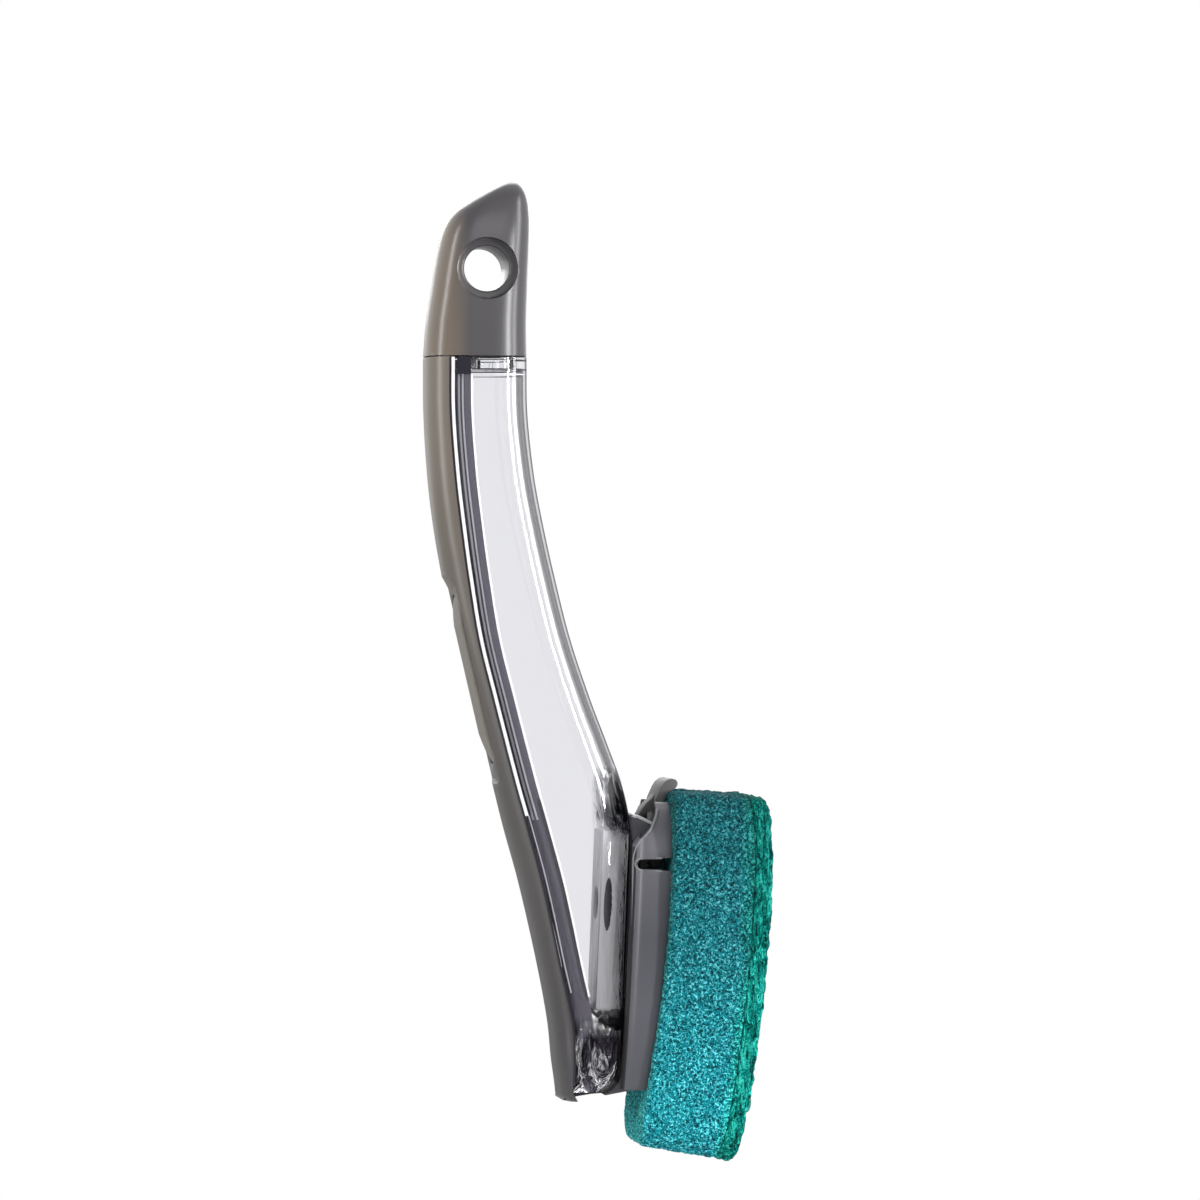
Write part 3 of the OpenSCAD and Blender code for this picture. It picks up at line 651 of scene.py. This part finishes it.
def strip(name, row_sets, material, thick, slot_name):
    """Thin strip through sets of rows of points."""
    verts, faces = [], []
    for rows in row_sets:
        start, n = len(verts), len(rows[0])
        verts += [p for row in rows for p in row]
        corners = [start + r * n + i for r in range(len(rows) - 1) for i in range(n - 1)]
        faces += [(c, c + 1, c + n + 1, c + n) for c in corners]
    obj = make(name, verts, faces, material)
    m = obj.modifiers.new("thick", "SOLIDIFY")
    m.thickness, m.offset = thick * MM, 0
    apply_modifiers(obj)
    soften(obj, 40)
    return stand_for(obj, "handle", slot_name)


def build_frame():
    """The dark inner wall with the plunger's hole."""
    heights = steps(HANDLE_TOP - TOP_PLATE - 0.05, HANDLE_FOOT + FOOT + 0.05, 80)
    loops = [lift(inside_loop(z, back(z) + SPINE_BACK + 1.2, seam(z) + FRAME_REACH, WALL + 0.25), z)
             for z in heights]
    body = loft("inner_frame_body", loops, mat_frame)
    hollow = []
    for z in steps(HANDLE_TOP - TOP_PLATE - 3, HANDLE_FOOT + FOOT + 1.5, 60):
        h, x1 = half(z) * 0.7 - 1.4, seam(z) + FRAME_REACH - 1.2
        hollow.append(lift([(back(z), -h), (back(z), h), (x1, h), (x1, -h)], z))
    boolean(body, loft("hollow", hollow))
    boolean(body, stadium("pocket", BUTTON_LEN + 4, BUTTON_W + 2.2, [(-1, 0), (5.05, 0)], on_press()))
    boolean(body, lathe("bore", [(2, 6), (11, 6)], on_press()))
    soften(body, 30)
    return stand_for(body, "handle", "frame_grey", "inner_frame")


def build_seam_lines():
    """The seam's groove and a pale strip painted as the seam edge's highlight, the ribs of the inner frame's flanks
    with a white line painted as a highlight past their front edge, and the collar below the cap.
    """
    inside = WALL + 0.28
    top, rib_top, bend = HANDLE_TOP - 0.1, HANDLE_TOP - 3, -133
    # Name: material, start and end past the seam, depth in the wall, finish, top, foot
    lines = {"seam_groove": (mat_frame_dark, -0.2, 0.28, 0.0, "spine_taupe", top, -198),
             # Painted highlight: the white strips on the clear surface along the seam and at the frame's front edge.
             "seam_highlight": (mat_highlight_white, 0.32, 1.08, 0.0, "clear_body", top, bend),
             "seam_thread": (mat_rib_low, 0.95, 1.25, 0.0, "clear_body", bend, -176),
             "rib_dark": (mat_frame_dark, 1.4, 2.0, inside, "frame_grey", rib_top, bend - 2),
             "rib_grey": (mat_rib_low, 2.1, 2.55, inside - 0.08, "frame_grey", rib_top, bend - 1),
             "rib_line": (mat_frame_dark, 2.6, 2.95, inside, "frame_grey", rib_top, bend),
             "rib_pale": (mat_rib, 3.0, 3.4, inside - 0.08, "frame_grey", rib_top, bend - 1),
             "rib_edge": (mat_frame, 3.9, 5.15, inside, "frame_grey", rib_top, -186),
             "rib_black": (mat_frame_dark, 4.3, 5.2, inside - 0.1, "frame_grey", bend + 4, -178),
             "frame_edge_highlight": (mat_highlight_white, 5.0, 5.5, 0.0, "clear_body", -26, -177),
             "collar_block": (mat_block, 1.6, 5.0, -0.02, "frame_grey", -21.7, -25.8)}
    for name, (material, r0, r1, t, slot_name, high, low) in lines.items():
        heights = steps(high, low, 110)
        strip(name, [flank_rows(r0, r1, t, heights, side) for side in (-1, 1)], material, 0.12, slot_name)
    collar = {"collar_line": (mat_frame_dark, -22.1, -22.35), "collar_foot": (mat_frame_dark, -24.4, -24.75),
              "collar_step": (mat_rib, -25.6, -25.9)}
    for name, (material, high, low) in collar.items():
        rows = [lift(ahead_arc(z, 0.45, seam(z) + 5.3, 60), z) for z in steps(high, low, 2)]
        strip(name, [rows], material, 0.1, "clear_body")
    ticks = [flank_rows(r, r + 0.4, 0.5, steps(-22.3, -24.4, 2), side) for side in (-1, 1) for r in (11.0, 13.0)]
    strip("collar_ticks", ticks, mat_rib, 0.1, "clear_body")


def build_housing():
    """The outlet housing behind the clear front wall, with a long oval window at its valve."""
    place = on_rail(OUTLET_DOWN)

    def block(x0, x1, y, z0, z1, r):
        outline = []
        for cy, cz, start in ((1, 1, 0), (-1, 1, 90), (-1, -1, 180), (1, -1, 270)):
            for a in steps(math.radians(start), math.radians(start + 90), 6):
                outline.append((cy * (y - r) + r * math.cos(a), (z1 - r if cz > 0 else z0 + r) + r * math.sin(a)))
        return loft("block", [[tuple(place @ Vector((x, py, pz))) for py, pz in outline] for x in (x0, x1)])

    def oval(name, s, y0, y1, material=None):
        loops = [[tuple(place @ Vector((-5.4 + math.cos(a), s * y, 6.5 * math.sin(a)))) for a in turn(40)]
                 for y in (y0, y1)]
        return loft(name, loops, material)

    housing = block(-7.2, -3.4, 8.5, -26, 18, 1.5)
    boolean(housing, block(-5, -1.3, 7.6, -25.6, 17.4, 1.2), "UNION")
    for s, side in SIDES:
        boolean(housing, oval("window", s, 7.7, 20))
        stand_for(oval(f"slot_inlay_{side}", s, 7.72, 8.1, mat_block), "handle", "seal_black")
    boolean(housing, lathe("inlet", [(-9, 4), (-6, 4)], place))
    boolean(housing, lathe("bore", [(-5.5, VALVE_R), (2, VALVE_R)], place))
    housing.data.materials.append(mat_housing)
    housing.name = "outlet_body"
    bevel(housing, 0.25, 2, 40)
    return stand_for(housing, "handle", "outlet_grey", "outlet_housing")


# Button

def build_button():
    """The push button: a crowned long oval with a rolled edge, and the flange that keeps it in."""
    crown_r = ((BUTTON_LEN / 2) ** 2 + BUTTON_CROWN ** 2) / (2 * BUTTON_CROWN)
    place = on_press()
    straight, n = (BUTTON_LEN - BUTTON_W) / 2, 28
    profile = [(0, None), (0, 1.0), (0, 0.35), (0.12, 0.12), (0.4, 0.0), (1.5, -0.1), (3.5, -0.16), (6.5, -0.2)]
    loops = []
    for inset, drop in profile:
        loop = []
        w = BUTTON_W / 2 - inset
        for side, start in ((1, 0), (-1, math.pi)):
            for a in steps(start, start + math.pi, n):
                y, z = w * math.cos(a), side * straight + w * math.sin(a)
                crown = crown_r - BUTTON_CROWN - math.sqrt(crown_r ** 2 - z * z)
                x = BUTTON_FOOT if drop is None else min(crown + drop + 0.25, BUTTON_FOOT)
                loop.append(tuple(place @ Vector((x, y, z))))
        loops.append(loop)
    button = loft("button_cap", loops[::-1], mat_button)
    flange = [(BUTTON_FOOT, 0), (BUTTON_FOOT + FLANGE_T, 0)]
    boolean(button, stadium("flange", BUTTON_LEN + FLANGE_LONG, BUTTON_W + FLANGE_WIDE, flange, place), "UNION")
    soften(button, 40)
    return stand_for(button, "button", "button_taupe", "soap_button")


# Head

def face_x(z):
    """X of the face that the head slides on."""
    return RAIL_X - math.tan(RAIL_TILT) * (RAIL_Z - z)


def back_x(z):
    """X of the sponge's back."""
    return at([(r[2], r[1]) for r in SPONGE_ROWS], 1, z)


def head_loop(z, t, reach):
    """Outline of the head with its raised lips, t mm inside it and reach mm into the sponge."""
    b, w, f = face_x(z) + t, at(HEAD_ROWS, 1, z), back_x(z) - 0.05 + reach
    side = [(f, w - t), (b + 2.6, w * 0.985 - t), (b + 1.2, w * 0.965 - t), (b + 0.5, w * 0.93 - t),
            (b - 0.2, w * 0.89 - t * 0.7), (b - 0.6, w * 0.84 - t / 2), (b - 0.9, w * 0.74 - t / 4),
            (b - 0.5, w * 0.6), (b, w * 0.48), (b + HEAD_GAP, w * 0.38)]
    return side + [(x, -y) for x, y in reversed(side)]


def build_head():
    """The grey head: a shallow shell with a chin, a cross bar, shoulders, the rail's slot and relief slots, and
    painted shade on its back faces by the rail.
    """
    heights = steps(-129.8, -135, 12) + steps(-136, -196, 60) + [-197.5, -198.6, -199.2, -199.6]
    inner = steps(-129.3, -135, 12) + steps(-136, -196, 60) + [-197.8]
    head = loft("head", [lift(head_loop(z, 0, 0), z) for z in heights], mat_head)
    boolean(head, loft("hollow", [lift(head_loop(z, HEAD_WALL, 1), z) for z in inner]))
    chin = [(34.2, -191), (33.9, -193.5), (33.4, -195.8), (32.2, -198.4), (30.6, -200.2), (29.0, -200.9),
            (29.0, -201.3), (33, -200.6), (36.4, -199.9), (37.8, -199.5), (37.4, -198), (35.2, -197.6), (35.1, -191)]
    boolean(head, prism("chin", chin, 9), "UNION")
    rail_out = HEAD_GAP + HEAD_WALL + FIT
    bar_top, bar_back, bar_front = TAB_AT[1] - TAB_R - FIT, face_x(-147) + rail_out + RAIL_T + FIT, 43.1
    bar = [(bar_back, bar_top - 3), (bar_back, bar_top), (bar_front, bar_top), (bar_front, bar_top - 3)]
    boolean(head, prism("bar", bar, 20.5), "UNION")
    shoulder = [(10, -144.4), (34.0, -144.4), (34.3, -143.2), (35.2, -140.5), (36.2, -138.9), (37.4, -137.7),
                (38.7, -136.2), (39.7, -134.4), (40.5, -132.5), (40.8, -131.2), (40.9, -110), (10, -110)]
    boolean(head, prism("shoulder", shoulder, 40))
    boolean(head, prism("middle", [(30, -140), (40.4, -140), (40.4, -110), (30, -110)], TAB_HALF + 0.5))
    place = on_rail()

    def block(x0, x1, y):
        corners = [tuple(place @ Vector((x, sy * y, z))) for x in (x0, x1) for sy in (-1, 1) for z in (RAIL_END, 20)]
        return make("block", corners,
                    [(0, 1, 3, 2), (4, 6, 7, 5), (0, 4, 5, 1), (2, 3, 7, 6), (0, 2, 6, 4), (1, 5, 7, 3)])

    boolean(head, block(-5, rail_out + RAIL_T / 2, RAIL_WEB + FIT))
    boolean(head, block(rail_out - 0.1, rail_out + RAIL_T + FIT, RAIL_WEB + RAIL_LIP + FIT))
    tip = [(SLOT_AT[0] - SLOT_R * math.sin(a), SLOT_AT[1] - SLOT_R * math.cos(a))
           for a in steps(math.radians(175), math.radians(5), 10)]
    slot = [(50, -142.6), (36.6, -143.4)] + tip[1:-1] + [(36.6, -145.8), (50, -146.6)]
    for s in (-1, 1):
        boolean(head, loft("slot", [[(x, s * y, z) for x, z in slot] for y in (14, 26)]))
    bevel(head, 0.22, 2, 40)
    # Painted shade: the back faces near the rail get a near-black material for the shadowed gap there.
    head.data.materials.append(mat_painted_shade)
    for face in head.data.polygons:
        if face.normal.x < -0.85 and face.center.x / MM < face_x(face.center.z / MM) + 1.5:
            face.material_index = 1
    return stand_for(head, "head", "head_grey", "head_shell")


def tube(name, points, radius, material, taper=0.0):
    """Round bead along points, rounded off at its ends and thinner over the last share, taper."""
    p = [Vector(q) for q in points]
    loops = []
    for i, q in enumerate(p):
        along = (p[min(i + 1, len(p) - 1)] - p[max(i - 1, 0)]).normalized()
        u = along.cross(Vector((0, 1, 0))).normalized()
        v = along.cross(u)
        r = radius * (0.35 if i in (0, len(p) - 1) else 1)
        if taper:
            r *= min(1, (len(p) - i) / len(p) / taper)
        loops.append([tuple(q + r * (math.cos(a) * u + math.sin(a) * v)) for a in turn(10)])
    return loft(name, loops, material, 60)


def wall_y(x, z):
    """Half width of the head's side wall at x."""
    b, w = face_x(z), at(HEAD_ROWS, 1, z)
    return np.interp(x, [b - 0.6, b + 0.5, b + 2.6, back_x(z)], [w * 0.84, w * 0.93, w * 0.985, w])


def build_rims():
    """Raised rims on the head's side walls: along the shoulder's edge and around the relief slots, a paler grey than
    the head as a painted highlight.
    """
    edge = [(40.75, -131.4), (40.4, -132.6), (39.7, -134.4), (38.6, -136.3), (37.4, -137.7), (36.2, -138.9),
            (35.25, -140.5), (34.6, -142.5), (34.45, -144.6), (34.3, -150), (33.9, -160)]
    (x0, z0), r = SLOT_AT, SLOT_R + 0.25
    around = [(x0 - r * math.sin(a), z0 - r * math.cos(a)) for a in steps(math.radians(180), 0, 14)]
    around = [(41.5, -143.05)] + around + [(41.5, -146.2)]
    for s, side in SIDES:
        path = even([(x + 0.25, s * (wall_y(x + 0.25, z) - 0.05), z) for x, z in edge], 60)
        stand_for(tube(f"rim_{side}", path, 0.32, mat_rim_highlight, taper=0.6), "head", "head_grey")
        path = even([(x, s * (wall_y(x, z) - 0.02), z) for x, z in around], 50)
        stand_for(tube(f"slot_rim_{side}", path, 0.28, mat_rim_highlight), "head", "head_grey")


def build_ledge_highlights():
    """Painted highlight: thin white tubes along the upper edges of the catch ledge."""
    for s, side in SIDES:
        edge = [(x, s * 7.9, z) for x, z in ((36.1, -133.45), (37.0, -133.35), (41.0, -135.25))]
        stand_for(tube(f"ledge_rim_{side}", even(edge, 24), 0.42, mat_highlight_white), "handle", "head_grey")


def build_foot_boss():
    """Small round boss on the slanted floor of the soap space."""
    place = Matrix.Translation((29.2, 0, -183.0)) @ Matrix.Rotation(math.radians(52), 4, "Y")
    profile = [(-1.2, 1.9), (1.6, 1.9), (1.9, 1.6), (1.9, 1.1), (1.2, 0.9)]
    for s, side in SIDES:
        at_side = Matrix.Translation((0, s * 5.5, 0)) @ place
        stand_for(lathe(f"foot_boss_{side}", profile, at_side, mat_block, 48), "handle", "clear_body")


def build_foot_line():
    """Dark edge along the underside of the clear foot."""
    outline = [(18.8, -202.5), (22, -201.5), (25.5, -200.95), (28.8, -200.7), (28.8, -200.42), (25, -200.45),
               (21.5, -200.6), (20.2, -201.2), (19, -201.9)]
    stand_for(prism("foot_line", outline, 8.5, mat_block), "handle", "spine_taupe")


def build_tab():
    """The release tab with its curled top, the nose that passes the catch, and its round root."""
    thumb = [(40.6, -144.4), (42.8, -144.4), (43.0, -138), (43.3, -131), (43.8, -129), (44.8, -127.4),
             (46.0, -126.9), (46.6, -126.4), (46.95, -125.8), (47.0, -125.2), (46.6, -124.5), (45.6, -124.2),
             (44.5, -124.5), (43.6, -125.2), (42.8, -126.5), (42.2, -127.8), (41.6, -129.2), (41.7, -134)]
    tab = prism("tab", thumb, TAB_HALF, mat_tab)
    nose = [(41.9, -128.2), (41.3, -129.1), (39.9, -130.3), (38.8, -131.8), (38.0, -133.0), (39.0, -133.3),
            (42.0, -131.6)]
    boolean(tab, prism("nose", nose, 3.6), "UNION")
    place = Matrix.Translation((TAB_AT[0], 0, TAB_AT[1])) @ Matrix.Rotation(math.radians(90), 4, "Z")
    boolean(tab, lathe("root", [(-TAB_HALF, TAB_R), (TAB_HALF, TAB_R)], place, n=48), "UNION")
    bevel(tab, 0.3, 3, 35)
    return stand_for(tab, "release_tab", "head_grey", "release_tab")


# Sponge

def deep(s):
    """The sponge's thickness at share s of its length."""
    return at(SPONGE_ROWS, 3, s) - at(SPONGE_ROWS, 1, s)


def sponge_point(s, depth, y):
    """Point at share s of the length, depth mm from the back."""
    a, b = [np.array([at(SPONGE_ROWS, c, s), at(SPONGE_ROWS, c + 1, s)]) for c in (1, 3)]
    u = depth / deep(s)
    x, z = a * (1 - u) + b * u
    return (x, y, z)


# Share of the thickness at which the foam meets the scrub layer
BOND_REACH = 1 - SCRUB_T / deep(0.5)


def pad(name, low, high, material, back_round, front_round):
    """A block between two depths as a fine even grid with softly rounded edges, which notes each point's reach."""
    spans, n = int(SPONGE_LEN / PAD_PITCH), int((2 * SPONGE_W + 2 * 20) / PAD_PITCH)
    b, f = back_round, front_round
    verts, reach = [], []
    for s in steps(0, 1, spans):
        end = min(min(s, 1 - s) * SPONGE_LEN, PAD_ROUND)
        inset = PAD_ROUND - math.sqrt(PAD_ROUND ** 2 - (PAD_ROUND - end) ** 2)
        lo, hi, w = low(s) + inset, high(s) - inset, at(SPONGE_ROWS, 5, s) - inset
        outline = [(lo, -w + b), (lo, w - b), (lo + b * 0.3, w - b * 0.3), (lo + b, w), (hi - f, w),
                   (hi - f * 0.3, w - f * 0.3), (hi, w - f), (hi, -w + f), (hi - f * 0.3, -w + f * 0.3),
                   (hi - f, -w), (lo + b, -w), (lo + b * 0.3, -w + b * 0.3)]
        points = even(outline, n, True)
        verts += [sponge_point(s, d, y) for d, y in points]
        reach += [d / deep(s) for d, y in points]
    faces = rings(spans + 1, n)
    for row in (0, spans):
        ring = previous = list(range(row * n, row * n + n))
        centre = np.mean([verts[i] for i in ring], axis=0)
        middle = sum(reach[i] for i in ring) / n
        for layer in range(1, END_LAYERS):
            k = 1 - layer / END_LAYERS
            now = list(range(len(verts), len(verts) + n))
            verts += [tuple(centre + (np.array(verts[i]) - centre) * k) for i in ring]
            reach += [middle + (reach[i] - middle) * k for i in ring]
            faces += [(previous[i], previous[(i + 1) % n], now[(i + 1) % n], now[i]) for i in range(n)]
            previous = now
        verts.append(tuple(centre))
        reach.append(middle)
        faces += [(previous[i], previous[(i + 1) % n], len(verts) - 1) for i in range(n)]
    obj = make(name, verts, faces, material, 180)
    obj.data.attributes.new("reach", "FLOAT", "POINT").data.foreach_set("value", reach)
    return obj


def read(data, key, size):
    """A float property of mesh data, as rows of the given size."""
    out = np.zeros(len(data) * size)
    data.foreach_get(key, out)
    return out.reshape(-1, size)


def roughen(obj, amount, size, seed, pits, pit_size):
    """Moves the points along their normals by seeded noise with small pits, less where foam and scrub meet."""
    mesh = obj.data
    points, normals = read(mesh.vertices, "co", 3), read(mesh.vertices, "normal", 3)
    shift = np.zeros((len(points), 1))
    for i, p in enumerate(points / MM):
        v = Vector(p) + Vector((seed, 0, 0))
        shift[i] = amount * noise.noise(v / size) + amount * 0.5 * noise.noise(v / size * 2.3)
        shift[i] -= pits * max(0.0, 1 - noise.voronoi(v / pit_size)[0][0] / 0.5)
    reach = read(mesh.attributes["reach"].data, "value", 1)
    shift *= np.clip(np.abs(reach - BOND_REACH) / 0.06, 0.25, 1.0)
    mesh.vertices.foreach_set("co", (points + normals * shift * MM).reshape(-1))
    mesh.update()


def build_sponge():
    """The foam block with its relief pocket behind the tab, and the scrub layer on it."""
    block = pad("sponge_block", lambda s: 0.0, lambda s: deep(s) - SCRUB_T, mat_foam, 0.7, 0.05)
    block.data.materials.append(mat_foam_back)
    relief = [(30, -110), (50.6, -110), (50.6, -129.4), (45.4, -146.4), (30, -146.4)]
    boolean(block, prism("relief", relief, TAB_HALF + 1))
    for face in block.data.polygons:
        if face.normal.x < -0.75:
            face.material_index = 1
    roughen(block, 0.35, 1.3, 11, 0.45, 1.1)
    soften(block, 180)
    stand_for(block, "head", "sponge_teal", "sponge")
    scrub = pad("scrub_pad", lambda s: deep(s) - SCRUB_T + 0.05, lambda s: deep(s) - FACE_INSET, mat_scrub, 0.05, 0.6)
    roughen(scrub, 0.5, 2.2, 37, 0.3, 1.4)
    soften(scrub, 180)
    stand_for(scrub, "head", "scrub_green", "scrub_layer")


def build_scrub_dots():
    """Raised scouring dots in offset rows on the scrub face."""
    pitch, radius, rise, margin, layers, n = 6.6, 2.1, 0.75, 1.2, 5, 20
    row_pitch, across = pitch * 0.866, 9
    verts, faces = [], []
    for row in range(1, int(SPONGE_LEN / row_pitch)):
        s = row * row_pitch / SPONGE_LEN
        first = -pitch * (across - 1) / 2 + (pitch / 2 if row % 2 else 0)
        for y in [first + pitch * k for k in range(across)]:
            if abs(y) > at(SPONGE_ROWS, 5, s) - radius - margin:
                continue
            start = len(verts)
            for i in range(layers + 1):
                a = math.pi / 2 * i / layers
                out = deep(s) - FACE_INSET + rise * math.sin(a)
                r = radius * math.cos(a) if i < layers else 0.02
                for k in range(n):
                    b = 2 * math.pi * k / n
                    x, _, z = sponge_point(min(max(s - r * math.sin(b) / SPONGE_LEN, 0), 1), out, 0)
                    verts.append((x, y + r * math.cos(b), z))
            faces += rings(layers + 1, n, start)
            faces.append(tuple(range(start + n - 1, start - 1, -1)))
            faces.append(tuple(range(start + layers * n, start + layers * n + n)))
    stand_for(make("scrub_dots", verts, faces, mat_dots, 60), "head", "scrub_green")


build_cap()
build_spine()
build_clear()
build_frame()
build_seam_lines()
build_housing()
build_button()
build_head()
build_rims()
build_ledge_highlights()
build_foot_boss()
build_foot_line()
build_tab()
build_sponge()
build_scrub_dots()


# Studio

PX = 0.245
VIEW_AZIMUTH, VIEW_ELEVATION, VIEW_DISTANCE = math.radians(-7.5), 0.0, 1600
IMAGE_SIDE = 1200
AMBIENT, FLAG_LEVEL = 0.34, 0.12
FLOOR_Z, FLOOR_SIDE = -295, 4000
LOOK_AT = ((600 - 484) * PX + 0.5, 0, (271 - 600) * PX)


def build_camera():
    data = bpy.data.cameras.new("camera")
    data.sensor_width = 36
    data.lens = 36 * VIEW_DISTANCE / (IMAGE_SIDE * PX)
    data.clip_start, data.clip_end = 0.01, 30
    cam = bpy.data.objects.new("camera", data)
    bpy.context.scene.collection.objects.link(cam)
    a, e = VIEW_AZIMUTH, VIEW_ELEVATION
    away = Vector((math.sin(a) * math.cos(e), -math.cos(a) * math.cos(e), math.sin(e)))
    cam.location = (Vector(LOOK_AT) + away * VIEW_DISTANCE) * MM
    cam.rotation_euler = away.to_track_quat("Z", "Y").to_euler()
    bpy.context.scene.camera = cam


def area_light(name, place, aim, size, power):
    data = bpy.data.lights.new(name, "AREA")
    data.shape, data.size, data.size_y = "RECTANGLE", size[0], size[1]
    data.energy = power
    light = bpy.data.objects.new(name, data)
    light.location = place
    light.rotation_euler = (Vector(place) - Vector(aim)).to_track_quat("Z", "Y").to_euler()
    bpy.context.scene.collection.objects.link(light)


def build_world():
    """White to the camera. Glass and gloss see white ahead and behind, and dark flags at the sides."""
    n = Nodes("studio", world=True)
    path, ahead = n.add("ShaderNodeLightPath").outputs, n.along("Y")
    behind_glass = n.spread(n.math("ABSOLUTE", ahead, 0), FLAG_LEVEL, 1.0, 0.30, 0.75, "SMOOTHSTEP")
    in_gloss = n.spread(ahead, 0.45, 1.0, -0.5, 0.3, "SMOOTHSTEP")
    level = AMBIENT
    for ray, value in (("Is Glossy Ray", in_gloss), ("Is Transmission Ray", behind_glass), ("Is Camera Ray", 1.0)):
        seen = path[ray]
        kept = n.math("MULTIPLY", level, n.math("SUBTRACT", 1.0, seen))
        level = n.math("ADD", kept, n.math("MULTIPLY", seen, value))
    white = n.shader("ShaderNodeBackground", ("Color", (1, 1, 1, 1)), ("Strength", level))
    bpy.context.scene.world = n.surface(white)


def build_floor():
    """White floor that keeps the wand's shadow near it and is plain white further away."""
    n = Nodes("floor_white")
    tone = n.ramp(n.noise(30, 3, 0.5), (0.3, (0.86, 0.86, 0.86, 1)), (0.7, (0.9, 0.9, 0.9, 1)))
    near = n.shader("ShaderNodeBsdfDiffuse", ("Color", tone))
    path = n.add("ShaderNodeLightPath").outputs
    seen = n.math("MAXIMUM", path["Is Camera Ray"], path["Is Transmission Ray"])
    far = n.shader("ShaderNodeEmission", ("Strength", n.spread(seen, AMBIENT, 1.0)))
    away = n.add("ShaderNodeVectorMath", (0, n.place), operation="LENGTH").outputs["Value"]
    white = n.surface(n.mix(n.spread(away, 0.0, 1.0, 0.36, 0.6), near, far))
    corners = [(sx * FLOOR_SIDE, sy * FLOOR_SIDE, FLOOR_Z) for sx, sy in ((-1, -1), (1, -1), (1, 1), (-1, 1))]
    floor = make("floor", corners, [(0, 1, 2, 3)], white)


build_camera()
build_world()
build_floor()
area_light("key", (0.95, -0.45, 0.2), (0.02, 0, -0.09), (0.2, 1.0), 8)
area_light("cap_glow", (0.66, -0.75, 0.0), (0, 0, -0.01), (0.07, 0.3), 5)
area_light("side", (-1.0, -0.3, 0.1), (0.02, 0, -0.09), (0.25, 1.0), 8)
area_light("front", (0.1, -1.3, 0.5), (0.02, 0, -0.12), (0.8, 0.5), 2.5)
area_light("back", (0.2, 0.9, 0.4), (0.03, 0, -0.10), (0.8, 0.8), 5)
scene = bpy.context.scene
scene.view_settings.view_transform = "Standard"
